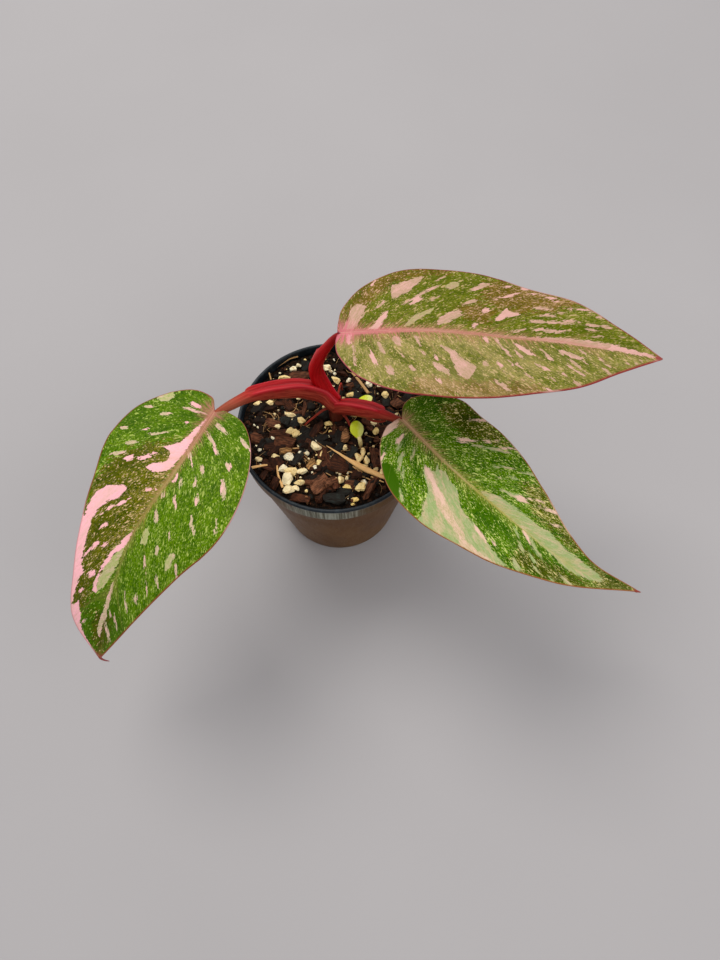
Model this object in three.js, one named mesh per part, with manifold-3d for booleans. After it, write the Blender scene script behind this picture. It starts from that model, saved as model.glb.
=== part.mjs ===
// A young pink princess philodendron in a small round nursery pot.
// Millimetres, +Z up. The origin is the centre of the pot's base, on the surface it stands on.
// +X runs towards the back and right leaves' tips, +Y towards the far side of the pot.
import * as THREE from 'three';
import { mergeVertices } from 'three/addons/utils/BufferGeometryUtils.js';
import Module from 'manifold-3d';

const wasm = await Module();
wasm.setup();

// ---- driving dimensions ----
const CLEARANCE = 0.3; // between solids that touch
const FINEST = 0.02; // detail smaller than this is left out

const POT = {
  rimRadius: 37.5, // a 3-inch pot
  height: 71,
  baseRadius: 25.5,
  wall: 1,
  floor: 1.2,
  lip: 1.5, // height and width of the rolled lip
  band: 8, // height of the straight band under the lip
  bandRadius: 36.6,
  step: 0.9, // how far the body steps in under the band
  edge: 1.6, // rounding round the foot
  sides: 48,
};
const DRAIN = { radius: 2.5, ring: 17, count: 6, sides: 12 };

const SOIL = { level: 68.2, crown: 0.8, seed: 20 };
const BARK = { count: 26, length: [4.5, 8.5], width: [3, 5.5], thick: [1.6, 3], reach: 29 };
const PERLITE = { count: 38, radius: [0.9, 2.1], reach: 31 };

// Pieces of the mix that stand out: centre, half sizes, turn about Z and tilt in degrees.
const BIG_BARK = [
  { at: [-4.5, -25.2], size: [4.4, 3.4, 1.9], turn: -35, tilt: 8 },
  { at: [1.8, -29.6], size: [3.6, 2.6, 1.2], turn: 5, tilt: -4 },
  { at: [-15.6, -9], size: [6.4, 3, 1.5], turn: -12, tilt: 6 },
  { at: [-27.3, -9], size: [4, 3, 1.4], turn: 20, tilt: -6 },
  { at: [14.6, -26.6], size: [4.6, 2, 1.5], turn: 62, tilt: 10 },
  { at: [4.4, -17.4], size: [4, 3.2, 1.3], turn: 30, tilt: 4 },
  { at: [25.5, 1.5], size: [4, 3.4, 1.3], turn: 15, tilt: -6 },
  { at: [-13, 22], size: [5, 3, 1.4], turn: 8, tilt: 5 },
];
// Straw lying on the mix: its two ends and its thickness.
const STRAW = [
  { ends: [[-2, -10.2, 69.6], [18.4, -23.2, 69.4]], radius: 0.6 },
  { ends: [[-28.5, -19.2, 69], [-23, -17.6, 69.3]], radius: 0.5 },
  { ends: [[-20.5, -18.6, 69.3], [-18.4, -25.6, 69]], radius: 0.5 },
];

// Stalks: the centre line, the radius at each of its points, and the way the open side of the sheath
// faces. sheath is how far along the stalk the two wings of the sheath run, 0 for none.
const STEM = {
  path: [[1.6, 4.6, 46], [1.4, 4.2, 57], [1.2, 3.8, 68], [0.8, 3.9, 79.5]],
  radii: [2.2, 2.9, 3, 2.8],
  faces: [1, 0, 0],
  sheath: 0,
};
const PETIOLES = {
  left: {
    path: [[1, 4.5, 76.5], [-4, 7, 80], [-12, 6.5, 84.5], [-20.5, 3, 89], [-28, -1, 92.4], [-34.2, -5.4, 93.8],
      [-39.8, -8.8, 94]],
    radii: [3.3, 3.6, 3.7, 3.5, 3, 2.05, 1.7],
    faces: [0.2, 0.6, 1],
    sheath: 0.72,
  },
  back: {
    path: [[-0.5, 5.5, 77], [-4, 9, 83], [-6, 11, 90], [-4, 10.6, 98.5], [-0.5, 9.4, 107], [2.6, 8, 113.6],
      [5, 6.6, 117.6]],
    radii: [3.2, 3, 2.9, 2.6, 1.8, 1.6, 1.5],
    faces: [1, -0.4, 0.3],
    sheath: 0.52,
  },
  right: {
    path: [[1, 4, 75.5], [6.5, 1.5, 79.5], [14, -2.5, 83.5], [19.5, -6.3, 86.8], [25.6, -9.6, 88.8]],
    radii: [2.9, 3.3, 3.4, 2.6, 1.6],
    faces: [0.2, 0.5, 1],
    sheath: 0.72,
  },
};
const WING = { height: 0.22, angle: 48, spread: 20, groove: 0.2 }; // share of the radius, and degrees

// Aerial roots that leave the stem and reach the mix: their centre lines.
const ROOTS = [
  [[0, 4.5, 74.5], [-3.4, 4, 74], [-7, 2.4, 71.8], [-11.6, 0.2, 68], [-13.4, -0.6, 64.5]],
  [[2.5, 3.5, 73], [4.6, 1.4, 72], [6.2, -2, 70.4], [8.4, -6.4, 68], [8.9, -8, 64.5]],
  [[1.2, 5.5, 74], [2.2, 9.5, 73.4], [2.8, 13.2, 70.6], [3, 15.4, 66]],
];
const ROOT_RADIUS = 0.75;

// Small lime-green sprout leaves: the pad's centre and half sizes, and the stalk down into the mix.
const SPROUTS = {
  sprout_front: {
    pad: [9, -4.7, 73], size: [2.5, 3.4, 0.6], turn: 8, tilt: 24,
    stalk: [[9.3, -6.6, 72.4], [10.2, -8.2, 70.6], [10.5, -8.8, 65]],
  },
  sprout_back: {
    pad: [12.4, 7.8, 74.2], size: [3, 2.7, 0.6], turn: 30, tilt: -12,
    stalk: [[12.6, 6.9, 74.4], [13, 5.9, 71], [13, 5.6, 65]],
  },
};
const SPROUT_STALK_RADIUS = 0.7;

// Leaf blades. rib is the midrib's course. The outline is given flat, as [along, across] from the
// place where the petiole ends: each point is where one lateral vein meets the margin, even steps
// apart from the base to the tip. fold is how steeply both halves rise from the midrib in degrees,
// at the base and at the tip; curl bends them down again towards the margin.
const BLADES = {
  left: {
    rib: [[-40.5, -8.5, 94], [-50, -31.5, 97], [-63, -52, 92], [-72.5, -71.5, 80], [-79.5, -87.5, 62]],
    length: 100,
    fold: [10, 6],
    curl: 0.005,
    port: [[-1, 5], [1.5, 12], [8, 18], [19, 23.5], [33.5, 27], [46, 25.5], [58.5, 20.5], [71.5, 14.5], [85, 8]],
    starboard: [[-5, 4], [-3.5, 13], [7.5, 24.5], [20.5, 27.5], [33, 27], [44.5, 22.5], [56, 18.5], [71, 15],
      [88, 11.5]],
  },
  back: {
    rib: [[4.5, 6.5, 118], [31, 5.5, 120.5], [57.5, 3, 120], [84.5, 1, 117.5], [110.5, -0.5, 112]],
    length: 107,
    fold: [10, 6],
    curl: 0.004,
    port: [[-1, 4], [0.5, 9.5], [7.5, 18], [20, 24], [33.5, 24.5], [47, 23.5], [61, 20], [77, 16.5], [92, 9]],
    starboard: [[-1.5, 4.5], [0, 10.5], [7, 19], [20, 24.5], [34, 25.5], [47.5, 24.5], [62, 21.5], [77, 17],
      [91, 9]],
  },
  right: {
    rib: [[25.5, -9.5, 89], [41.5, -30.5, 92], [61, -48.5, 89], [82, -63, 82], [105.5, -67, 70]],
    length: 107,
    fold: [16, 10],
    curl: 0.005,
    port: [[-4.5, 5], [-2.5, 11], [7.5, 20], [19, 21], [31, 21.5], [43.5, 19.5], [56, 15], [70, 9.5], [87, 4.5]],
    starboard: [[-0.8, 4], [0.5, 8.5], [7, 15.5], [19.5, 22.5], [32.5, 23.5], [45, 20.5], [57.5, 17], [71.5, 10.5],
      [86.5, 4.5]],
  },
};
const BLADE = {
  thick: 0.8,
  ribDepth: 1, // how far the midrib stands out below, at the base
  ribWidth: 1.7,
  notch: [-1.2, 0.6], // the margin's first point, beside the petiole
  tip: 0.25, // half width of the blunt end
  fan: 2.5, // power that crowds the veins' starts towards the base
  bow: 0.3, // how much the lateral veins bow
  rows: 26,
  columns: [0, 0.05, 0.12, 0.3, 0.54, 0.78, 1],
};

// ---- tools ----
const deg = THREE.MathUtils.degToRad;
const toVector = (point) => new THREE.Vector3(...point);
const smoothCurve = (points) => new THREE.CatmullRomCurve3(points.map(toVector), false, 'catmullrom', 0.5);
const smoothNumber = (values) => {
  const curve = smoothCurve(values.map((value) => [value, 0, 0]));
  return (t) => curve.getPoint(t).x;
};

// A seeded random number generator (mulberry32).
function randomFrom(seed) {
  let state = seed;
  return () => {
    state = (state + 0x6d2b79f5) | 0;
    let mixed = Math.imul(state ^ (state >>> 15), 1 | state);
    mixed = (mixed + Math.imul(mixed ^ (mixed >>> 7), 61 | mixed)) ^ mixed;
    return ((mixed ^ (mixed >>> 14)) >>> 0) / 4294967296;
  };
}
const between = (random, [low, high]) => low + (high - low) * random();

function toSolid(geometry) {
  const bare = geometry.clone();
  bare.deleteAttribute('normal');
  bare.deleteAttribute('uv');
  const merged = mergeVertices(bare, 1e-4);
  const corners = merged.index.array;
  const kept = [];
  for (let i = 0; i < corners.length; i += 3) {
    const [a, b, c] = corners.slice(i, i + 3);
    if (a !== b && b !== c && c !== a) kept.push(a, b, c);
  }
  return new wasm.Manifold(new wasm.Mesh({
    numProp: 3,
    vertProperties: new Float32Array(merged.attributes.position.array),
    triVerts: new Uint32Array(kept),
  }));
}

function toGeometry(solid) {
  const mesh = solid.getMesh();
  const geometry = new THREE.BufferGeometry();
  geometry.setAttribute('position', new THREE.BufferAttribute(mesh.vertProperties, 3));
  geometry.setIndex(new THREE.BufferAttribute(mesh.triVerts, 1));
  geometry.computeVertexNormals();
  return geometry;
}

const tidy = (solid) => solid.asOriginal().simplify(FINEST);
const largest = (solid) => tidy(solid).decompose().sort((a, b) => b.volume() - a.volume())[0];

const rise = (geometry) => geometry.rotateX(Math.PI / 2);

// A closed body turned about Z from [radius, height] points that start and end on the axis.
function turned(profile, sides) {
  return rise(new THREE.LatheGeometry(profile.map(([r, z]) => new THREE.Vector2(r, z)), sides));
}

// ---- pot ----
const bandFoot = POT.height - POT.lip - POT.band;
const bodyTop = POT.bandRadius - POT.step;
const wallAt = (z) => THREE.MathUtils.mapLinear(z, 0, bandFoot, POT.baseRadius, bodyTop) - POT.wall;

function potInside(gap) {
  const bandInner = POT.bandRadius - POT.wall - gap;
  return [
    [wallAt(POT.floor) - POT.edge - gap, POT.floor + gap],
    [wallAt(POT.floor + POT.edge) - gap, POT.floor + POT.edge + gap],
    [wallAt(bandFoot) - gap, bandFoot - POT.wall + gap],
    [bandInner - 0.2, bandFoot + gap],
    [bandInner, POT.height - POT.lip - 1],
  ];
}

function pot() {
  const outside = [
    [0, 0],
    [POT.baseRadius - POT.edge, 0],
    [POT.baseRadius - 0.3 * POT.edge, 0.25 * POT.edge],
    [POT.baseRadius + 0.15, POT.edge],
    [bodyTop, bandFoot - 0.4],
    [POT.bandRadius - 0.25, bandFoot],
    [POT.bandRadius, POT.height - POT.lip],
    [POT.rimRadius - 0.1, POT.height - POT.lip + 0.2],
    [POT.rimRadius, POT.height - 0.6],
    [POT.rimRadius - 0.4, POT.height],
    [POT.rimRadius - POT.lip, POT.height],
    [POT.rimRadius - POT.lip - 0.3, POT.height - 0.4],
  ];
  const inside = potInside(0).reverse();
  const body = toSolid(turned([...outside, ...inside, [0, POT.floor]], POT.sides));
  const drain = new THREE.CylinderGeometry(DRAIN.radius, DRAIN.radius, 4 * POT.floor, DRAIN.sides);
  rise(drain).translate(DRAIN.ring, 0, 0);
  let drained = body;
  for (let k = 0; k < DRAIN.count; k += 1) {
    drained = drained.subtract(toSolid(drain));
    drain.rotateZ((2 * Math.PI) / DRAIN.count);
  }
  return tidy(drained);
}

// ---- stalks ----
// A round bar bent along its path. angle 0 is the side that faces the open side of the sheath.
function stalk({ path, radii, faces, sheath }, { grow = 0, sides = 16, steps = 18 } = {}) {
  const centre = smoothCurve(path);
  const radiusAt = smoothNumber(radii);
  const bar = new THREE.CylinderGeometry(1, 1, 1, sides, steps);
  const corners = bar.attributes.position;
  for (let i = 0; i < corners.count; i += 1) {
    const local = new THREE.Vector3().fromBufferAttribute(corners, i);
    const t = THREE.MathUtils.clamp(local.y + 0.5, 0, 1);
    const forward = centre.getTangent(t);
    const open = toVector(faces).addScaledVector(forward, -toVector(faces).dot(forward)).normalize();
    const side = new THREE.Vector3().crossVectors(forward, open);
    const angle = Math.abs(Math.atan2(local.x, local.z));
    const winged = 1 - THREE.MathUtils.smoothstep(t, sheath - 0.06, sheath + 0.02);
    const wing = WING.height * Math.exp(-(((angle - deg(WING.angle)) / deg(WING.spread)) ** 2));
    const groove = WING.groove * Math.exp(-((angle / deg(WING.spread)) ** 2));
    const radius = radiusAt(t) * (1 + (sheath > 0 ? winged * (wing - groove) : 0)) + grow;
    const place = centre.getPoint(t);
    place.addScaledVector(side, radius * local.x).addScaledVector(open, radius * local.z);
    corners.setXYZ(i, place.x, place.y, place.z);
  }
  return toSolid(bar);
}

const thread = (path, radius, sides, steps) => stalk(
  { path, radii: [radius, radius], faces: [0.3, 1, 0.1], sheath: 0 },
  { sides, steps },
);

const roots = (grow) => ROOTS.map((path) => thread(path, ROOT_RADIUS + grow, 8, 9));

function stem(grow = 0) {
  return tidy(roots(grow).reduce((whole, root) => whole.add(root), stalk(STEM, { grow })));
}

// ---- leaf blades ----
function bladeSurface(blade) {
  const rib = smoothCurve(blade.rib);
  const marginOf = (points) => smoothCurve(
    [BLADE.notch, ...points, [blade.length, BLADE.tip]].map(([along, across]) => [along, across, 0]),
  );
  const margins = { '-1': marginOf(blade.port), 1: marginOf(blade.starboard) };

  // Flat place on one half of the blade: reach 0 is the midrib and 1 the margin, row 0 the base.
  const flat = (half, row, reach) => {
    const start = blade.length * row ** BLADE.fan;
    const edge = margins[half].getPoint(row);
    const bowed = reach * (1 - BLADE.bow + BLADE.bow * reach);
    return [start + (edge.x - start) * bowed, half * edge.y * reach];
  };

  // The same place in space, lift above the blade's middle surface.
  return (half, row, reach, lift) => {
    const [along, across] = flat(half, row, reach);
    const t = THREE.MathUtils.clamp(along / blade.length, 0, 1);
    const forward = rib.getTangent(t);
    const right = new THREE.Vector3().crossVectors(forward, new THREE.Vector3(0, 0, 1)).normalize();
    const up = new THREE.Vector3().crossVectors(right, forward);
    const rising = deg(THREE.MathUtils.lerp(blade.fold[0], blade.fold[1], t));
    const width = Math.abs(across);
    const place = rib.getPoint(t).addScaledVector(forward, Math.min(along, 0));
    place.addScaledVector(right, across * Math.cos(rising));
    place.addScaledVector(up, width * Math.sin(rising) - blade.curl * width ** 2);
    const ribbed = lift < 0 ? BLADE.ribDepth * (1 - t) * Math.exp(-((across / BLADE.ribWidth) ** 2)) : 0;
    return place.addScaledVector(up, lift - ribbed);
  };
}

// A closed slab: the upper and lower faces have the same triangles, and a wall joins their edges.
function bladeSolid(blade, grow = 0) {
  const surface = bladeSurface(blade);
  const reaches = [...BLADE.columns.slice(1).reverse().map((c) => -c), ...BLADE.columns];
  const lift = BLADE.thick / 2 + grow;
  const across = reaches.length;
  const layer = across * (BLADE.rows + 1);
  const points = [];
  for (const side of [1, -1]) {
    for (let j = 0; j <= BLADE.rows; j += 1) {
      for (const reach of reaches) {
        points.push(surface(reach < 0 ? -1 : 1, j / BLADE.rows, Math.abs(reach), side * lift));
      }
    }
  }
  const at = (i, j) => j * across + i;
  const index = [];
  const quad = (a, b, c, d) => index.push(a, b, c, a, c, d);
  for (let j = 0; j < BLADE.rows; j += 1) {
    for (let i = 0; i < across - 1; i += 1) {
      const [a, b, c, d] = [at(i, j), at(i + 1, j), at(i + 1, j + 1), at(i, j + 1)];
      quad(a, b, c, d);
      index.push(a + layer, c + layer, b + layer, a + layer, d + layer, c + layer);
    }
    const [left, leftNext] = [at(0, j), at(0, j + 1)];
    const [right, rightNext] = [at(across - 1, j), at(across - 1, j + 1)];
    quad(left, leftNext, leftNext + layer, left + layer);
    quad(rightNext, right, right + layer, rightNext + layer);
  }
  for (let i = 0; i < across - 1; i += 1) {
    quad(at(i + 1, 0), at(i, 0), at(i, 0) + layer, at(i + 1, 0) + layer);
    const [a, b] = [at(i, BLADE.rows), at(i + 1, BLADE.rows)];
    quad(a, b, b + layer, a + layer);
  }
  const slab = new THREE.BufferGeometry().setFromPoints(points);
  slab.setIndex(index);
  return toSolid(slab);
}

// ---- petioles ----
// Each petiole clasps what it grew round, and ends where its blade begins.
function petioles() {
  const grown = [stem(CLEARANCE)];
  const made = {};
  for (const name of ['left', 'back', 'right']) {
    const neighbours = [...grown, bladeSolid(BLADES[name], CLEARANCE)];
    const cut = neighbours.reduce((body, other) => body.subtract(other), stalk(PETIOLES[name]));
    made[name] = largest(cut);
    grown.push(stalk(PETIOLES[name], { grow: CLEARANCE }));
  }
  return made;
}

// ---- sprouts ----
function sprout({ pad, size, turn, tilt, stalk: path }, grow = 0) {
  const leaf = new THREE.SphereGeometry(1, 12, 6);
  leaf.scale(...size.map((half) => half + grow));
  leaf.rotateX(deg(tilt)).rotateZ(deg(turn)).translate(...pad);
  return tidy(toSolid(leaf).add(thread(path, SPROUT_STALK_RADIUS + grow, 6, 4)));
}

// ---- potting mix ----
function chunk([x, y], size, turn, tilt, z) {
  const piece = new THREE.BoxGeometry(...size.map((half) => 2 * half));
  return toSolid(piece.rotateX(deg(tilt)).rotateZ(deg(turn)).translate(x, y, z));
}

function soil() {
  const random = randomFrom(SOIL.seed);
  const somewhere = (reach) => {
    const [angle, distance] = [2 * Math.PI * random(), reach * Math.sqrt(random())];
    return [distance * Math.cos(angle), distance * Math.sin(angle)];
  };
  const wall = potInside(CLEARANCE);
  const edge = wall.at(-1)[0];
  const plug = [[0, POT.floor + CLEARANCE], ...wall.slice(0, -1), [edge, SOIL.level], [0, SOIL.level + SOIL.crown]];
  let mix = toSolid(turned(plug, POT.sides));
  for (const { at, size, turn, tilt } of BIG_BARK) {
    mix = mix.add(chunk(at, size, turn, tilt, SOIL.level + SOIL.crown));
  }
  for (let k = 0; k < BARK.count; k += 1) {
    const half = [BARK.length, BARK.width, BARK.thick].map((range) => between(random, range) / 2);
    const where = somewhere(BARK.reach);
    mix = mix.add(chunk(where, half, 360 * random(), 24 * (random() - 0.5), SOIL.level + 0.5));
  }
  for (let k = 0; k < PERLITE.count; k += 1) {
    const grain = new THREE.IcosahedronGeometry(between(random, PERLITE.radius), 0);
    grain.scale(1, 0.8, 0.75).rotateZ(2 * Math.PI * random());
    const [x, y] = somewhere(PERLITE.reach);
    mix = mix.add(toSolid(grain.translate(x, y, SOIL.level + 1.3)));
  }
  for (const { ends, radius } of STRAW) {
    mix = mix.add(thread(ends, radius, 6, 1));
  }
  const holes = [stem(CLEARANCE), ...Object.values(SPROUTS).map((made) => sprout(made, CLEARANCE))];
  return largest(holes.reduce((body, hole) => body.subtract(hole), mix));
}

// ---- assembly ----
const material = (color, roughness) => new THREE.MeshStandardMaterial({ color, roughness, metalness: 0 });
const LOOKS = {
  pot: material(0x1c1d1f, 0.3),
  soil: material(0x2a1c14, 0.95),
  stem: material(0x7c1a22, 0.45),
  petiole: material(0x9c2430, 0.4),
  leafLeft: material(0x4c7a2c, 0.4),
  leafBack: material(0x7c8048, 0.45),
  leafRight: material(0x3f6e2a, 0.4),
  sprout: material(0xa8c64a, 0.45),
};

const plant = new THREE.Group();
function add(name, solid, look) {
  const mesh = new THREE.Mesh(toGeometry(solid), look);
  mesh.name = name;
  plant.add(mesh);
}

add('pot', pot(), LOOKS.pot);
add('soil', soil(), LOOKS.soil);
add('stem', stem(), LOOKS.stem);
const stalks = petioles();
add('petiole_left', stalks.left, LOOKS.petiole);
add('petiole_back', stalks.back, LOOKS.petiole);
add('petiole_right', stalks.right, LOOKS.petiole);
add('leaf_left', bladeSolid(BLADES.left), LOOKS.leafLeft);
add('leaf_back', bladeSolid(BLADES.back), LOOKS.leafBack);
add('leaf_right', bladeSolid(BLADES.right), LOOKS.leafRight);
for (const [name, made] of Object.entries(SPROUTS)) {
  add(name, sprout(made), LOOKS.sprout);
}

export default plant;
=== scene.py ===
"""A young pink princess philodendron in a small black nursery pot: three variegated leaves on red
sheathed petioles, aerial roots, two sprouts, and a chunky mix of bark, perlite and straw.

Sizes are in millimetres, in the CAD frame, and meshes are made in metres. The outlines, ribs and
stalk paths are the same as the CAD part's, so each piece lies in the solid that it replaces.
"""

import bmesh
import bpy
import numpy as np
from mathutils import Matrix


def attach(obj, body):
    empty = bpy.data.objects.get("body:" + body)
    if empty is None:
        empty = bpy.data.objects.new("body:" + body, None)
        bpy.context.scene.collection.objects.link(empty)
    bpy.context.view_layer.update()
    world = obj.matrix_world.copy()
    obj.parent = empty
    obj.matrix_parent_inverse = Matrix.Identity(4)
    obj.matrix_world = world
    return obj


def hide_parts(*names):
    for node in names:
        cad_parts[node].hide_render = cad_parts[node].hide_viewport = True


MM = 0.001

# ---- camera: the photograph's, with its place in millimetres and its angles in degrees ----
PHOTO_HEIGHT = 960
FOCAL_PIXELS = 712.0
SENSOR = 36.0
CAMERA_PLACE = (12.90, -137.21, 308.38)
CAMERA_PITCH, CAMERA_YAW, CAMERA_ROLL = 64.60, -1.378, -1.577

# ---- lights: places in metres, powers in watts ----
LIGHTS = {
    "key": {"place": (-0.35, 0.5, 1.2), "power": 10.5, "colour": (1.0, 0.98, 0.94)},
    "fill": {"place": (0.7, -0.45, 0.9), "power": 4, "colour": (1.0, 0.98, 0.96)},
}
LIGHT_AIM = (0, 0, 0.06)
LIGHT_SIZE = 0.8
SKY = {"colour": (0.98, 0.98, 1.0, 1), "strength": 0.6}
FLOOR_HALF = 6.0

# ---- pot ----
# rim, base and band_radius are radii, and lip and band are heights. lip_round is the lip's own radius, and
# lip_turn the part of its circle that shows, in radians. The base is set in by base_rise, inside a ring
# that is base_ring wide.
POT = {
    "rim": 37.5,
    "height": 71.0,
    "base": 25.5,
    "wall": 1.0,
    "floor": 1.2,
    "lip": 1.5,
    "lip_round": 0.75,
    "lip_turn": (-1.2, 3.3),
    "band": 8.0,
    "band_radius": 36.6,
    "step": 0.9,
    "edge": 1.6,
    "base_rise": 0.3,
    "base_ring": 3.4,
    "sides": 192,
}
BAND_FOOT = POT["height"] - POT["lip"] - POT["band"]
DRAIN = {"radius": 2.5, "ring": 17.0, "count": 6, "sides": 32}
DIRT_SPOTS = ((5.5, -36.1, 68.4), (3.6, -36.3, 68.8), (-15.7, -33.0, 67.6), (-17.4, -32.2, 68.2))

# ---- stalks ----
# A path is a stalk's centre line. A petiole's sheath opens towards faces and is sheath of its length.
# brown and pale say how brown its skin is below and how tan near the blade. Its last number is the
# painted shade on its underside away from the hub.
STEM = {
    "path": [(1.6, 4.6, 46), (1.4, 4.2, 58), (1.2, 4, 68), (1, 4.4, 75), (0.8, 5.2, 79)],
    "radii": [2.2, 2.9, 3, 2.7, 1.2],
    "towards_blade": 0.8,
    # painted shade over the whole stem
    "shade": 0.95,
}
PETIOLES = {
    "left": {
        "path": [(1, 4.5, 76.5), (-4, 7, 80), (-12, 6.5, 84.5), (-20.5, 3, 89), (-28, -1, 92.4),
                 (-34.2, -5.4, 93.8), (-39.8, -8.8, 94)],
        "radii": [3.2, 3.35, 3.35, 3.1, 2.35, 1.8, 1.5],
        "faces": (0.2, 0.6, 1),
        "sheath": 0.7,
        "brown": 1.0,
        "pale": 0.9,
        "painted_shade_below": 0.1,
    },
    "back": {
        "path": [(-0.5, 5.5, 77), (-4, 9, 83), (-6, 11, 90), (-4, 10.6, 98.5), (-0.5, 9.4, 107),
                 (2.6, 8, 113.6), (5, 6.6, 117.6)],
        "radii": [3.1, 2.8, 2.5, 2.05, 1.6, 1.4, 1.25],
        "faces": (0.5, 1, 0.3),
        "sheath": 0.56,
        "brown": 0.1,
        "pale": 0.0,
        "painted_shade_below": 0.3,
    },
    "right": {
        "path": [(1, 4, 75.5), (6.5, 1.5, 79.5), (14, -2.5, 83.5), (19.5, -6.3, 86.8), (25.6, -9.6, 88.8)],
        "radii": [2.8, 2.95, 2.9, 1.85, 1.3],
        "faces": (0.2, 0.5, 1),
        "sheath": 0.7,
        "brown": 0.9,
        "pale": 0.3,
        "painted_shade_below": 0.55,
    },
}
# A sheath's two wings. height and groove are shares of the radius, flare is how much higher the wings get
# near the end, angles are in degrees from the open side, and round is the share of the path in which
# the sheath ends.
WING = {
    "height": 0.3,
    "angle": 48,
    "spread": 15,
    "flare": 0.45,
    "groove": 0.2,
    "groove_spread": 20,
    "round": 0.045,
}
ROOTS = {
    "paths": [
        [(0, 4.5, 74.5), (-3.4, 4, 74), (-7, 2.4, 71.8), (-11.6, 0.2, 68), (-13.4, -0.6, 64.5)],
        [(2.5, 3.5, 73.5), (4.8, 1.2, 72.8), (6.6, -2, 71.6), (8.6, -6, 70), (10, -9.6, 66)],
        [(1.2, 5.5, 75), (1.6, 8, 76.4), (2.2, 10.4, 77.2), (2.9, 12.6, 78.2), (3.1, 14.4, 75.5),
         (3.2, 15.2, 68)],
        [(11, -1.6, 79.8), (13.4, -3.6, 79.7), (17, -5, 80), (19.4, -6.2, 82.6)],
    ],
    "radii": [0.6, 0.5, 0.44, 0.38, 0.34, 0.3],
    "towards_blade": 0.64,
    # painted shade on the roots near the hub
    "shade": 0.3,
}
HUB = (1, 4, 76)
# How a petiole ends inside its blade's base: how far its last two points are lowered and the last one
# moved along the midrib, the second last radius as a share of the one in its list, and the last radius.
PETIOLE_END = {"lowered": (1.0, 2.0), "onward": 2.2, "drawn_in": 0.85, "radius": 0.6}
# The skin's unevenness as layers of (height, size, seed).
SKIN = {"petiole": [(0.12, 5, 2)], "stem": [(0.1, 2.2, 8)]}
# How finely each tube is made: the points round it and the rings along it.
GRIDS = {"petiole": (64, 150), "stem": (40, 60), "root": (14, 50), "drip_tip": (12, 24), "sprout": (12, 20)}
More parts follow.
